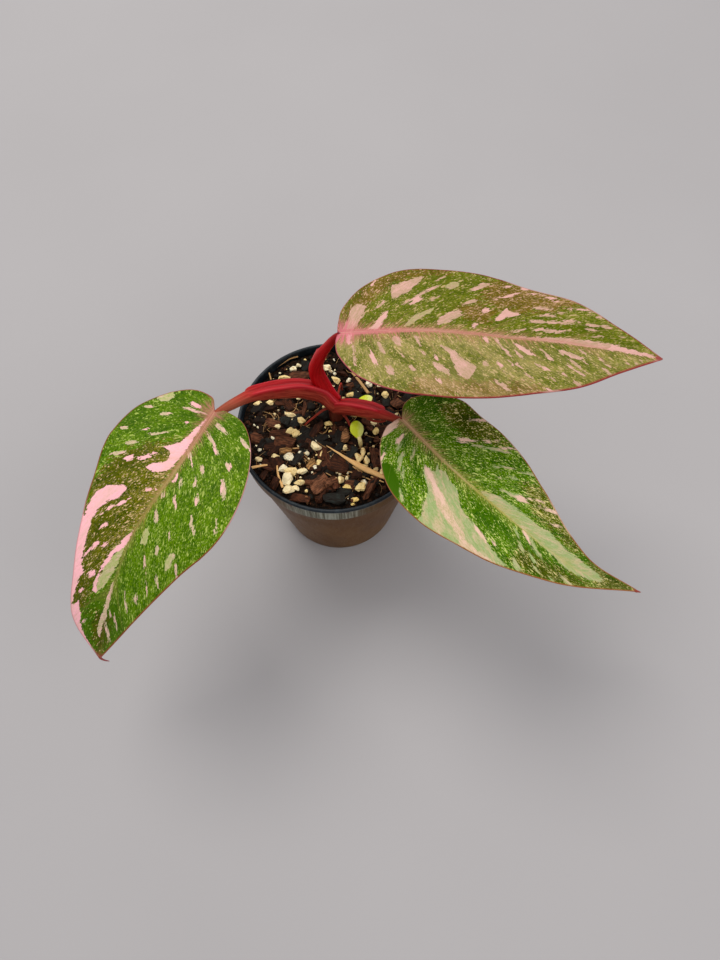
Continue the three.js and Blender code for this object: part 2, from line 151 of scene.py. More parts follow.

# ---- leaves ----
# Outlines are flat, as (along, across) from the place where the petiole ends; port is the half on
# the left of the midrib, looking from base to tip, where across is negative in the markings.
# fold is how steeply a half rises from the rib, in degrees at base and tip, and curl how it bends back.
# veins gives, for each half, how the lateral veins crowd towards the base and how much they bow.
# A sector is an outline of one tint. A fleck is (along, across, length, width) and lies along the vein.
# lean says from where to where on the port half flecks turn towards the tip, and how far. A zone tones
# the green: bronze, dark, a painted shade about half as dark (dull), a painted pale sheen, and a
# fainter painted sheen about half as strong.
# rib_half is the painted rib's half width and rib_show how strongly it shows, from base to tip. rim is
# how wide the red margin is in each half. drip_tip runs on from the end of the rib.
LEFT_LEAF = {
    "rib": [(-40.5, -8.5, 94), (-50, -31.5, 97), (-63, -52, 92), (-72.5, -71.5, 80), (-79.5, -87.5, 62)],
    "length": 100,
    "fold": (10, 6),
    "curl": 0.005,
    "port": [(-1, 5), (1.5, 12), (8, 18), (19, 23.5), (33.5, 27), (46, 25.5), (58.5, 20.5), (71.5, 14.5),
             (85, 8)],
    "starboard": [(-5, 4), (-3.5, 13), (7.5, 24.5), (20.5, 27.5), (33, 27), (44.5, 22.5), (56, 18.5),
                  (71, 15), (88, 11.5)],
    "veins": {-1: (3.6, 0.3), 1: (3.0, 0.5)},
    "sectors": {
        "pink": [
            [(4, 0.8), (8, 1.9), (13, 2.8), (17, 4.2), (19.5, 6.2), (21, 8.5), (21.4, 6), (22.3, 4.6),
             (25.2, 4), (27, 5.6), (28.4, 8), (31.4, 9.2), (31.2, 6.4), (29, 3.4), (27.2, 1.5), (18, 0.6)],
            [(40, 10.2), (42.3, 10), (44.6, 10.6), (46, 12.8), (49, 14.6), (52.5, 15.2), (60, 14),
             (65, 13.2), (68.3, 12.6), (69, 11.2), (72, 11.8), (77, 12.4), (84, 12.8), (84, 16), (70, 18),
             (59, 21), (54.6, 22), (53.4, 18.4), (50.5, 18.8), (46, 18.8), (43, 16.8), (41.6, 14),
             (40, 11.6)],
            [(80.5, 10.4), (84.5, 9), (88, 8.7), (91, 7.6), (94, 5.6), (97, 3), (100, 0.6), (102, 3),
             (97, 8), (92, 13), (83, 15), (82.5, 12)],
            [(8, -18.9), (19, -24.4), (33.5, -27.9), (33.5, -29), (19, -27), (7, -21)],
            [(50.3, 0.4), (55, 0.6), (58, 1.6), (60, 3), (66, 5), (70, 5.6), (75, 5), (74.6, 6.6),
             (70, 6.5), (64, 5.6), (60, 4.6), (56, 2.6)],
            [(26.6, -1.4), (30.4, -3.1), (30.4, -1.2)],
        ],
        "pale": [[(68.5, 0.4), (74, -0.5), (81, -0.4), (87, 0.3), (91, 1), (90, 2), (86, 1.9), (80, 1)]],
        "mint": [
            [(55, 0.6), (60, 0.7), (65, 1.2), (70, 2.6), (73.4, 3.9), (75, 5.2), (70, 5.7), (66, 5),
             (60, 3), (57, 1.8)],
            [(-1, 16.5), (1, 15), (3, 15.8), (4.8, 18.8), (3.4, 20.6), (1.2, 21), (-0.6, 19)],
            [(50.2, -17.2), (56, -17), (57.6, -16), (55, -15), (51.5, -14.8)],
            [(46.5, -3.4), (49, -5.4), (52.6, -6.2), (53, -4), (50, -3.2)],
        ],
    },
    "flecks": {
        "pink": [(25.3, 10, 3.4, 1), (28.2, 11.6, 4, 1.6), (31.2, 16, 3.6, 1.9), (36.6, 3.2, 3, 1.2),
                 (44.4, 8.3, 4, 0.9), (59, 7.6, 2.6, 1), (69, 8.2, 3, 1.4), (53.4, 10.2, 2.4, 1),
                 (49, 12, 3, 0.8), (60.5, 10.6, 3, 1), (63.4, 12, 3, 0.9), (76.5, 10.4, 2, 0.8),
                 (0.8, 7, 4, 1.8), (8.8, 6, 1.2, 1)],
        "pale": [(25, 18.8, 4, 1.4), (8.5, 14.5, 3, 1), (6.4, -6.2, 5.5, 1.4), (11.6, -5, 6, 1.1),
                 (27.5, -9, 4.5, 0.9), (31.6, -13, 2.8, 1.3), (57, -20, 8, 0.9), (36, -1.8, 2, 0.9),
                 (80.4, -1.8, 2.6, 1), (70.4, -9.4, 3, 0.9), (36.4, -8, 1.6, 0.8), (3, 5.6, 7, 0.9),
                 (16.6, 12, 5.5, 1), (8, 22, 3, 1), (31.5, 20, 5, 1.3), (17.5, 17.5, 2, 0.9),
                 (20, 24.6, 3, 1.2), (87.3, 7.4, 2.6, 1), (10, -17.6, 6, 1.3), (19, -16, 2.6, 1.5),
                 (25.6, -18.6, 5.4, 1.5), (20.6, -2.2, 7.5, 1), (23, -8.4, 4, 1), (35.2, -6.5, 3, 1.1),
                 (42.4, -4.2, 4, 1.2), (37.6, -15.8, 3, 0.9), (40, -18.8, 3.4, 0.9),
                 (52.4, -10.5, 2.6, 1.6), (62.4, -14.6, 4, 0.8), (65.6, -11.8, 6.5, 0.5),
                 (82, -3.9, 4, 0.8), (88, -2, 6, 1.1), (35, -24, 3.4, 0.9), (30, -5, 3, 0.7),
                 (15.4, -9, 3, 0.8), (45.6, -12.4, 2.4, 0.9), (58, -7.8, 3, 0.6), (73, -6.2, 4, 0.6)],
    },
    "zones": {
        "bronze": [
            [(82, -1.5), (92, -2), (99, 0), (92, 3), (82, 4)],
            [(15, 1.5), (19, 8), (22, 13), (27, 17), (33, 19.5), (38, 22), (46, 22), (52, 19), (84, 13),
             (83, 8), (76, 6.4), (60, 3), (50, 0.4), (38, 0.4), (27, 1)],
        ],
        "dark": [
            [(74, -4), (80, -9), (101, 0), (96, 7), (84, 9), (76, 6)],
            [(38, 12), (52, 9), (64, 9), (80, 9), (84, 12), (64, 13), (50, 14)],
            [(22, 13), (30, 12), (40, 16), (44, 20), (34, 20)],
        ],
        # painted shade over the base of the blade
        "dull": [
            [(-8, 2), (18, 4), (24, 30), (0, 30), (-10, 16)],
            [(-4, -2), (20, -4), (18, -24), (0, -20)],
        ],
    },
    "rib_half": [1.5, 1.0, 0.75, 0.5, 0.25],
    "rib_show": [0.95, 0.75, 0.4, 0.1, 0],
    "drip_tip": [(0.6, 0.8, 0.6), (0.1, 0.25, -0.2), (0.1, 0.1, -2), (0.5, 0.1, -4.4), (1.5, 0.1, -5.6)],
}
BACK_LEAF = {
    "rib": [(4.5, 6.5, 118), (31, 5.5, 120.5), (57.5, 3, 120), (84.5, 1, 117.5), (110.5, -0.5, 112)],
    "length": 107,
    "fold": (10, 6),
    "curl": 0.004,
    "port": [(-1, 4), (0.5, 9.5), (7.5, 18), (20, 24), (33.5, 24.5), (47, 23.5), (61, 20), (77, 16.5),
             (92, 9)],
    "starboard": [(-1.5, 4.5), (0, 10.5), (7, 19), (20, 24.8), (34, 26), (47.5, 24.8), (62, 21.5), (77, 17),
                  (91, 9)],
    "veins": {-1: (3.8, 0.35), 1: (2.7, 0.6)},
    "sectors": {
        "pink": [
            [(89, -1.9), (95, -1.5), (100, -0.9), (105, -0.3), (106, 0), (101, 0.3), (94, 0.5), (87, 0.2)],
            [(50, -5.6), (52, -9), (54, -10.6), (55, -9.4), (58.6, -9.3), (57, -8.2), (54, -7.4), (52, -6)],
            [(9, -0.8), (11.5, -3.4), (14, -6.6), (15.6, -7.4), (15.4, -5.2), (13.4, -2.6), (12, -0.8)],
            [(55.8, 2), (58.5, 3), (61, 4.8), (62.8, 6.8), (60.5, 6.6), (58, 4.6)],
        ],
        "pale": [
            [(16.6, -17.4), (20, -18.6), (23.6, -20.2), (27, -21.4), (25.4, -19), (24, -17.4),
             (22.4, -15.4), (20, -13.6), (17, -11.8), (16.4, -14.4)],
            [(3.4, -9.4), (5.5, -10.6), (8.2, -9.6), (7.4, -6.5), (5.6, -3.4), (4.5, -1), (0.6, -1),
             (2.6, -6)],
            [(31, -3.6), (34, -6.6), (38.6, -8.8), (39.2, -6.6), (36, -4), (32, -2.2)],
            [(33, 6.4), (36, 7.4), (38.6, 9.4), (40.6, 11.6), (44.6, 14), (43.6, 16.6), (42, 19),
             (39, 17.6), (38, 15), (36.4, 12), (36, 10)],
            [(30.4, 13), (33, 14), (35.8, 16), (36.2, 18), (33.6, 17.2), (31, 15.6)],
            [(70, 3.3), (73, 3.6), (76, 5), (79.2, 5.5), (77, 6.4), (74, 6.2), (71, 4.8)],
            [(58, -0.4), (70, -1.6), (79, -2), (92, -2), (92, 0.5), (80, 0.5), (70, 0.2), (62, 0)],
        ],
        "mint": [
            [(20.6, -1.8), (24, -5.4), (27, -7), (30, -8.8), (29.4, -6.6), (26, -4), (22, -1.6)],
            [(33, -17), (35, -19), (38, -20), (37.4, -18), (35, -16.6)],
        ],
    },
    "flecks": {
        "pink": [(24.6, -11.6, 4.4, 1.8), (54.4, -15.8, 7, 1), (60, -19.8, 2.4, 1), (64.2, -18, 3, 0.6),
                 (43.6, -2.9, 2.6, 1.2), (46.6, -9, 2.4, 1.4), (11, 11.6, 5.4, 1.2), (31.5, 11.6, 2.2, 1),
                 (33.2, 20.4, 2.6, 1.2), (3, 2.6, 5, 1.6), (68.6, -17, 3, 0.7), (69.6, -15.8, 3, 0.8),
                 (79.6, -13.4, 6, 0.9), (10.6, -19, 2.4, 1), (47.4, 2, 2.4, 1), (52, 12, 2.2, 0.8),
                 (66, 12, 2.4, 0.9), (54, -19.6, 3, 0.6), (67, 19.6, 3, 0.8)],
        "pale": [(25.4, -13.4, 11, 1.1), (42, -12, 5, 1), (44.6, -18.4, 6.6, 1.8), (32, -20.6, 3, 0.9),
                 (65, -12.2, 5, 1), (66.5, -9.6, 5, 0.9), (69, -7.2, 14, 1), (74.6, -8.4, 5.4, 1.1),
                 (59, -3.2, 5, 0.8), (70.4, -3.9, 6.6, 1.1), (64.4, -3.9, 5, 1), (85.2, -11.8, 4, 0.7),
                 (82.4, -8, 4, 0.8), (87, -8.4, 2.4, 0.9), (81.6, -6.2, 3, 0.6), (84, -4, 3, 0.6),
                 (18.5, 4.6, 4, 2.4), (13.6, 7.4, 4.6, 1.6), (16.6, 16.8, 4, 2), (25.6, 4.6, 5, 1.2),
                 (24, 15.8, 2.6, 1.4), (27, 9.7, 3.4, 0.8), (47.2, 12.1, 2.4, 1.7), (58, 7.3, 3.8, 1.3),
                 (52.6, 19.8, 4.4, 1.4), (66.6, 5.7, 4, 1), (68, 8, 4, 0.9), (75, 8, 7, 0.9),
                 (84.4, 5.4, 3.4, 0.9), (75.6, 16, 2.6, 0.9), (68.4, 15.8, 2.4, 0.8), (55, 11, 2.4, 0.8),
                 (51, 2.2, 3.4, 0.8), (53.2, 5.6, 4.4, 0.8), (13, -10, 3, 0.8), (4.6, 7.6, 3, 0.8),
                 (5.4, 12.6, 3.4, 0.9), (20.6, 11, 2.6, 0.7), (61, 15.4, 3, 0.7), (30.4, -12.6, 3, 0.7),
                 (78.5, 3, 2.4, 0.8), (85, 9, 2.6, 1), (86.5, 7, 1.6, 0.7), (73.5, 9.5, 2.4, 0.8),
                 (78.5, 7, 2, 0.6), (93.5, 5, 1.4, 0.8), (96.5, 4.4, 1.2, 0.7), (98.5, 2.5, 1.2, 0.6),
                 (71.5, 13, 1.6, 0.8), (63.5, 10.5, 1.8, 0.9), (57.5, 11.5, 1.8, 0.8), (67, 15, 2, 0.7),
                 (86.5, 10.5, 1.4, 0.7), (77, 12, 2.2, 0.8), (53, 14.5, 2, 0.8), (92.5, -5.5, 2, 0.6),
                 (72, -11, 2, 0.7)],
    },
    "zones": {
        "bronze": [
            [(0, -8), (6, -16), (12, -21), (22, -24), (34, -25), (34, -23), (22, -21), (12, -15), (5, -4)],
            [(47, -20), (52, -21.5), (62, -20), (78, -16), (70, -12), (58, -10), (50, -11), (46, -15)],
            [(38, -9), (44, -12), (50, -9), (48, -4), (42, -5)],
            [(22, 25), (26, 20), (44, 20), (60, 18), (66, 20), (50, 25)],
        ],
        "dark": [
            [(60, -2), (66, -9), (84, -9), (92, -4), (84, -2)],
            [(34, 18), (38, 12), (50, 17), (44, 20)],
            [(28, -21), (34, -15), (44, -19), (46, -22)],
            [(52, 1), (57, 6), (72, 9), (78, 7), (60, 1)],
        ],
        # painted shade over the far half, from the base to the middle
        "dull": [[(-4, -1), (20, -1), (60, -1), (60, -26), (20, -28), (-4, -16)]],
        # a painted pale sheen over the near half, and a fainter one on towards the tip
        "painted_sheen": [[(-6, 1), (58, 1), (66, 10), (60, 34), (-6, 34)]],
        "faint_painted_sheen": [[(50, 0.5), (101, 0), (98, 14), (62, 34), (50, 30)]],
    },
    "lean": (50, 70, 0.85),
    "rim": {-1: 0.4, 1: 0.75},
    "rib_half": [1.35, 1.0, 0.8, 0.6, 0.3],
    "rib_show": [0.95, 0.85, 0.75, 0.4, 0.1],
    "drip_tip": [(-3, 0, 0.2), (-2.4, 0, 0.15), (-1.8, 0, 0.1), (-1.3, 0, 0), (-0.7, 0, -0.1)],
    "drip_radii": [0.5, 0.72, 0.8, 0.7, 0.4],
}
RIGHT_LEAF = {
    "rib": [(25.5, -9.5, 89), (41.5, -30.5, 92), (61, -48.5, 89), (82, -63, 82), (105.5, -67, 70)],
    "length": 107,
    "fold": (16, 10),
    "curl": 0.005,
    "port": [(-4.5, 5), (-2.5, 11), (7.5, 20), (19, 21), (31, 21.5), (43.5, 19.5), (56, 15), (70, 9.5),
             (87, 4.5)],
    "starboard": [(-0.8, 4), (0.5, 8.5), (7, 15.5), (19.5, 22.5), (32.5, 23.5), (45, 20.5), (57.5, 17),
                  (71.5, 10.5), (86.5, 4.5)],
    "veins": {-1: (3.6, 0.35), 1: (3.4, 0.35)},
    "sectors": {
        "mint": [
            [(22.4, 2.6), (24.2, 3.6), (27, 3), (29.4, 4.6), (33, 4.8), (35.6, 7), (38, 9.2), (40.4, 10.2),
             (45, 10.8), (50, 12), (52.4, 13.6), (56, 14.4), (60.6, 14.6), (59, 16), (56, 17.4), (50, 19.2),
             (45, 20.2), (42, 22.4), (36, 25), (32.4, 25), (31.4, 20), (29.6, 18), (28.6, 14.6), (27, 12.6),
             (25, 11), (22.8, 9.6), (21.4, 8), (20.4, 6.4), (23.6, 6.3), (24.4, 5.2)],
            [(38.4, -0.6), (41, -2), (45, -3.4), (50, -4.1), (60, -4.3), (65, -4.9), (69, -4.2), (74, -3.7),
             (80, -3.5), (84, -2.8), (88, -1.8), (92, -0.2), (89, 1.2), (84, 1.8), (80, 2), (75, 1.8),
             (72, 0.7), (60, 0.1), (48, 0)],
            [(42.6, -5.3), (46, -6.8), (50, -8.3), (52.6, -8.1), (52, -7.2), (48, -6.2)],
        ],
        "pale": [
            [(20.4, 6.4), (25, 7), (29, 9), (32, 10), (34.4, 11.6), (38, 13.5), (41, 15), (45.2, 16.3),
             (44.4, 17.4), (41, 17), (37, 16.3), (34, 15.3), (31, 13.8), (28.6, 11.6), (26, 10.4),
             (23, 9.2)],
            [(43, 17.2), (50, 17.6), (58, 16.2), (56, 17.4), (50, 19.2), (45, 20.2)],
        ],
        "pink": [
            [(20.4, 6.4), (25, 7.4), (29, 9.4), (32, 10.8), (34.4, 12.6), (32, 12.8), (28.6, 11), (23, 8.6)],
            [(44.2, 10.8), (48, 11.3), (51.4, 12.8), (50, 13.4), (46, 12.2)],
            [(-4, 1.4), (0.4, 1.8), (2, 4.4), (3.2, 9), (2.6, 12.8), (-1.5, 12), (-5, 6)],
            [(48.4, -6.7), (50.4, -8.4), (54.8, -8.4), (52.4, -7)],
        ],
        "plain": [[(12.6, 17.2), (15, 16.2), (20, 18.2), (23.4, 21.4), (23, 25), (16, 24), (12, 20)]],
    },
    "flecks": {
        "pink": [(22.4, -10.4, 6.8, 1.4), (20.6, -20.4, 7.4, 1.2), (37, -19.8, 4, 0.6),
                 (61.2, -11, 5.4, 1.1), (55.4, -10.7, 4, 0.6), (28.4, -15.5, 2.4, 1),
                 (31.4, -18.4, 2.4, 0.8), (10.4, 17.2, 6.6, 1), (7, 6.6, 4.8, 1.2), (35, -17.4, 3.4, 0.6),
                 (60.4, 1.6, 5, 0.9), (32, 12.2, 4, 0.6), (52.6, 11.6, 2.4, 0.6), (66, -8.4, 3, 0.6)],
        "mint": [(27.6, -12.4, 3.4, 0.9), (33, -15.4, 7.6, 1.2), (47.6, -16.6, 6.6, 1),
                 (15, 12.8, 6.4, 1.5), (14.6, 6.8, 5, 0.9), (63.4, 2.4, 9.6, 1.1), (60, 5.6, 4, 1),
                 (62.2, 12.4, 4.4, 1.5), (68, 9, 3, 1), (65, 6.4, 3, 0.6), (74, 9.2, 2.4, 0.6),
                 (78, 6.4, 3, 0.6), (9.6, 9, 3.4, 0.8), (40.4, -13, 4, 0.7), (44.6, -11.8, 3, 0.8),
                 (24.4, 21.6, 3, 0.9), (57.4, 3, 3, 0.6), (41, -8.4, 3.4, 0.7), (37.6, -11, 3, 0.6),
                 (19, 15.4, 3, 0.7)],
    },
    "zones": {
        "bronze": [
            [(4, -14), (10, -20), (22, -22), (36, -21), (32, -17), (22, -11), (12, -11)],
            [(48, -12), (54, -16), (84, -7), (76, -5), (58, -6.4)],
            [(60, 7), (74, 3), (90, 2.4), (84, 6), (70, 11), (60, 13)],
            [(84, -5), (108, -1), (108, 2), (88, 5)],
        ],
        "dark": [
            [(58, 4), (64, 3), (84, 3), (78, 7), (66, 13)],
            # painted shadow of the back leaf, near the base of the far half
            [(8, -12), (12, -20), (26, -19), (22, -10)],
            [(66, -6), (84, -8), (108, -1), (106, 3), (90, 4), (92, -1), (86, -3.4), (76, -4.6)],
            [(38, 1), (46, 1), (56, 6), (50, 9.4), (42, 7)],
        ],
        # painted shadow of the back leaf over the base of the far half
        "dull": [[(-6, -2), (-4, -14), (8, -22), (20, -20), (20, -8), (8, -1.4)]],
    },
    "rib_half": [0.95, 0.6, 0.45, 0.3, 0.2],
    "rib_show": [0.95, 0.85, 0.6, 0.25, 0],
    "drip_tip": [(-1, 0.1, 0.3), (-0.4, 0, 0.1), (0.1, 0, -0.1), (0.6, -0.1, -0.3), (1.2, -0.1, -0.6)],
}
LEAVES = {"left": LEFT_LEAF, "back": BACK_LEAF, "right": RIGHT_LEAF}
# quilt is how deep the blade sinks along each of its lateral veins, which fade in over vein_fade from the
# midrib. notch is the outline's first point and tip its half width at the end. fan and bow lay out the
# mesh's rows as veins lays out the veins. waves and ripples are layers of (height, size, seed), and
# halves_apart keeps the marbling of one half from mirroring the other.
BLADE = {
    "half_thickness": 0.24,
    "thinner_margin": 0.45,
    "rib_depth": 1.0,
    "rib_width": 1.5,
    "groove": 0.18,
    "groove_width": 0.9,
    "quilt": 0.16,
    "quilt_width": 1.3,
    "waves": [(0.22, 13, 5)],
    "ripples": [(0.1, 4.5, 6)],
    "laterals": 10,
    "vein_fade": 14,
    "thinnest_rib": 0.12,
    "halves_apart": 37,
    "notch": (-1.2, 0.6),
    "tip": 0.25,
    "fan": 2.5,
    "bow": 0.3,
    "rows": 230,
    "columns": 60,
    "crowding": 1.1,
}
DRIP_RADII = [0.45, 0.45, 0.36, 0.26, 0.12]
RIM = {-1: 0.5, 1: 0.5}
SOFT_EDGE = 3.0  # how gradually a zone fades out


# ---- numbers ----
def unit(vectors):
    """The same directions at length 1."""
    return vectors / np.linalg.norm(vectors, axis=-1, keepdims=True)


def smoothstep(value, low, high):
    """0 up to low, 1 from high on, and a smooth rise between."""
    t = np.clip((value - low) / (high - low), 0, 1)
    return t * t * (3 - 2 * t)


def spline(points, t):
    """The smooth curve through evenly spaced points, at t from 0 to 1."""
    p = np.asarray(points, float)
    p = p[:, None] if p.ndim == 1 else p
    p = np.vstack([2 * p[0] - p[1], p, 2 * p[-1] - p[-2]])
    x = np.clip(np.asarray(t, float), 0, 1) * (len(p) - 3)
    i = np.minimum(x.astype(int), len(p) - 4)
    f = (x - i)[..., None]
    a, b, c, d = p[i], p[i + 1], p[i + 2], p[i + 3]
    made = 0.5 * (2 * b + (c - a) * f + (2 * a - 5 * b + 4 * c - d) * f**2 + (3 * b - a - 3 * c + d) * f**3)
    return made[..., 0] if np.ndim(points[0]) == 0 else made


def heading(points, t, step=1e-3):
    """The way the spline runs at t."""
    return unit(spline(points, t + step) - spline(points, t - step))


def cell_value(cells, seed):
    """A repeatable number from 0 to 1 for each whole-numbered cell."""
    n = cells.astype(np.int64)
    mixed = (n[..., 0] * 73856093) ^ (n[..., 1] * 19349663) ^ (n[..., 2] * 83492791) ^ (seed * 40503)
    mixed = ((mixed ^ (mixed >> 13)) * 1274126177) & 0x7FFFFFFF
    return ((mixed ^ (mixed >> 15)) & 0xFFFF) / 0xFFFF


def lumps(points, size, seed=0):
    """Smooth noise from -1 to 1 whose lumps are about size across."""
    scaled = np.asarray(points, float) / size
    low = np.floor(scaled)
    f = scaled - low
    f = f * f * (3 - 2 * f)
    total = np.zeros(scaled.shape[:-1])
    for corner in np.ndindex(2, 2, 2):
        weight = np.prod(np.where(np.array(corner) == 1, f, 1 - f), axis=-1)
        total += weight * cell_value(low + corner, seed)
    return 2 * total - 1


def bumps(points, layers, base=0.0):
    """A base height and on it layers of lumps, each of (height, size, seed)."""
    for height, size, seed in layers:
        base = base + height * lumps(points, size, seed)
    return base


def depth_inside(outline, points):
    """How deep each (x, y) lies inside a closed outline; negative outside it."""
    corners = np.asarray(outline, float)
    nearest = np.full(len(points), 1e9)
    inside = np.zeros(len(points), bool)
    x, y = points.T
    for a, b in zip(corners, np.roll(corners, -1, axis=0), strict=True):
        edge = b - a
        t = np.clip(((points - a) @ edge) / (edge @ edge), 0, 1)
        nearest = np.minimum(nearest, np.hypot(*(points - a - t[:, None] * edge).T))
        spans = (a[1] > y) != (b[1] > y)
        cross_x = a[0] + (y - a[1]) * edge[0] / (edge[1] if edge[1] else 1e-9)
        inside ^= spans & (x < cross_x)
    return np.where(inside, nearest, -nearest)


# ---- meshes ----
def grid_faces(rows, columns, closed=False):
    """Quads of a grid of points, row by row. closed joins the last column to the first."""
    i = np.arange(rows - 1)[:, None]
    j = np.arange(columns if closed else columns - 1)[None, :]
    k = (j + 1) % columns
    corners = [i * columns + j, i * columns + k, (i + 1) * columns + k, (i + 1) * columns + j]
    return np.stack(np.broadcast_arrays(*corners), axis=-1).reshape(-1, 4)


def make_piece(name, points, faces, materials, replaces=(), fields=None, face_slots=None, smooth=True):
    """A mesh object from points in millimetres, riding on the CAD body root. A field holds one number or
    one vector for each point, which the materials read by its name."""
    mesh = bpy.data.meshes.new(name)
    mesh.from_pydata((np.asarray(points) * MM).tolist(), [], [list(map(int, f)) for f in faces])
    for material in materials:
        mesh.materials.append(material)
    for label, values in (fields or {}).items():
        values = np.asarray(values, np.float32)
        kind, key = ("FLOAT", "value") if values.ndim == 1 else ("FLOAT_VECTOR", "vector")
        mesh.attributes.new(label, kind, "POINT").data.foreach_set(key, values.ravel())
    if face_slots is not None:
        mesh.polygons.foreach_set("material_index", np.asarray(face_slots, np.int32))
    mesh.polygons.foreach_set("use_smooth", np.full(len(mesh.polygons), smooth))
    mesh.validate()
    mesh.update()
    piece = bpy.data.objects.new(name, mesh)
    bpy.context.scene.collection.objects.link(piece)
    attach(piece, "root")
    if replaces:
        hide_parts(*replaces)
    return piece


class Parts:
    """Gathers many small meshes that have the same fields into one piece."""

    def __init__(self):
        self.points, self.faces, self.fields, self.count = [], [], {}, 0

    def add(self, points, faces, **fields):
        """A field is one number for the whole mesh, or a value for each of its points."""
        self.faces.extend([corner + self.count for corner in face] for face in faces)
        self.points.append(points)
        for label, values in fields.items():
            spread = np.full(len(points), values) if np.ndim(values) == 0 else values
            self.fields.setdefault(label, []).append(spread)
        self.count += len(points)

    def make(self, name, material, replaces=(), smooth=True):
        points = np.vstack(self.points)
        fields = {label: np.concatenate(values) for label, values in self.fields.items()}
        return make_piece(name, points, self.faces, [material], replaces, fields, smooth=smooth)


# ---- materials ----
def tone(red, green, blue):
    """A colour given as it looks on a screen, from 0 to 255."""
    made = [((c / 255 + 0.055) / 1.055) ** 2.4 if c > 10 else c / 255 / 12.92 for c in (red, green, blue)]
    return (*made, 1.0)


class Shader:
    """One material's node tree, built by short calls that return sockets."""

    def __init__(self, name, **settings):
        self.material = bpy.data.materials.new(name)
        self.material.use_nodes = True
        self.tree = self.material.node_tree
        self.surface = self.tree.nodes["Principled BSDF"]
        for socket, value in settings.items():
            self.feed(self.surface.inputs[socket.replace("_", " ")], value)

    def feed(self, socket, value):
        if isinstance(value, bpy.types.NodeSocket):
            self.tree.links.new(value, socket)
        else:
            socket.default_value = value

    def node(self, kind, *values, **settings):
        made = self.tree.nodes.new("ShaderNode" + kind)
        for key, value in settings.items():
            setattr(made, key, value)
        for socket, value in zip(made.inputs, values):
            self.feed(socket, value)
        return made

    def maths(self, operation, *values, clamp=False):
        return self.node("Math", *values, operation=operation, use_clamp=clamp).outputs[0]

    def plus(self, a, b, clamp=False):
        return self.maths("ADD", a, b, clamp=clamp)

    def times(self, a, b):
        return self.maths("MULTIPLY", a, b)

    def linear(self, value, factor, offset):
        return self.maths("MULTIPLY_ADD", value, factor, offset)

    def scaled(self, vector, factors, shift=(0, 0, 0)):
        return self.node("VectorMath", vector, factors, shift, operation="MULTIPLY_ADD").outputs[0]

    def split(self, vector):
        return self.node("SeparateXYZ", vector).outputs

    def step(self, value, low, high, first=0.0, last=1.0):
        """From first to last as value goes from low to high."""
        limits = (low, high, first, last)
        return self.node("MapRange", value, *limits, interpolation_type="SMOOTHSTEP").outputs[0]

    def mix(self, factor, a, b):
        made = self.node("Mix", data_type="RGBA")
        for k, value in ((0, factor), (6, a), (7, b)):
            self.feed(made.inputs[k], value)
        return made.outputs[2]

    def number(self, name):
        return self.node("Attribute", attribute_name=name).outputs["Fac"]

    def vector(self, name):
        return self.node("Attribute", attribute_name=name).outputs["Vector"]

    def object_place(self):
        """The place on the object, in millimetres."""
        return self.scaled(self.node("TexCoord").outputs["Object"], (1 / MM,) * 3)

    def texture(self, kind, vector, **values):
        made = self.node("Tex" + kind)
        for socket, value in {"Vector": vector, **values}.items():
            self.feed(made.inputs[socket], value)
        return made

    def noise(self, vector, scale, detail=2.0, roughness=0.5):
        return self.texture("Noise", vector, Scale=scale, Detail=detail, Roughness=roughness).outputs[0]

    def stretched(self, vector, factors, detail=2.0, roughness=0.5):
        """Noise that is finer along each axis by its factor."""
        return self.noise(self.scaled(vector, factors), 1.0, detail, roughness)

    def noise_shift(self, vector, scale, amount):
        """The vector pushed about by noise, by up to half of amount along each axis."""
        colour = self.texture("Noise", vector, Scale=scale).outputs["Color"]
        centred = self.scaled(colour, (amount,) * 3, (-amount / 2,) * 3)
        return self.node("VectorMath", vector, centred, operation="ADD").outputs[0]

    def cells(self, vector, size, seed):
        """Three random numbers for each cell of a pattern whose cells are about size across."""
        placed = self.scaled(vector, tuple(1 / s for s in size), (seed, seed * 0.37, 0))
        return self.split(self.texture("Voronoi", placed, Scale=1.0).outputs["Color"])

    def finish(self, colour, roughness, height=None, distance=0.0002, strength=1.0):
        """Feeds the surface. The bump's distance is in metres."""
        self.feed(self.surface.inputs["Base Color"], colour)
        self.feed(self.surface.inputs["Roughness"], roughness)
        if height is not None:
            bump = self.node("Bump")
            for socket, value in (("Strength", strength), ("Distance", distance), ("Height", height)):
                self.feed(bump.inputs[socket], value)
            self.feed(self.surface.inputs["Normal"], bump.outputs[0])
        return self.material


# Tints as they look on a screen, for the left, the back and the right leaf.
LEAF_TINTS = {
    "green": ((99, 134, 3), (124, 128, 28), (98, 138, 0)),
    "deep": ((42, 79, 0), (66, 80, 2), (32, 76, 0)),
    "fleck": ((164, 180, 88), (190, 164, 116), (198, 208, 118)),
    "bronze": ((117, 114, 10), (130, 106, 34), (108, 118, 6)),
    "bronze_deep": ((46, 61, 0), (78, 70, 6), (38, 54, 0)),
    "bronze_fleck": ((212, 178, 136), (190, 150, 120), (212, 196, 132)),
    "pink": ((248, 182, 190), (216, 166, 158), (230, 190, 172)),
    "pale": ((194, 176, 142), (184, 149, 127), (204, 176, 144)),
    "mint": ((170, 174, 112), (166, 156, 108), (152, 168, 112)),
    "rib": ((168, 134, 82), (188, 122, 110), (176, 162, 82)),
    "rib_base": ((176, 108, 100), (202, 110, 120), (186, 132, 104)),
    "rib_line": ((200, 160, 122), (212, 156, 144), (220, 192, 148)),
    "margin": ((146, 70, 50), (140, 40, 52), (152, 90, 54)),
    "heart": ((166, 94, 96), (206, 104, 128), (184, 124, 104)),
    # the pale wash of the painted sheen; only the back leaf has zones for it
    "painted_sheen": ((150, 150, 60), (186, 160, 116), (150, 150, 60)),
}
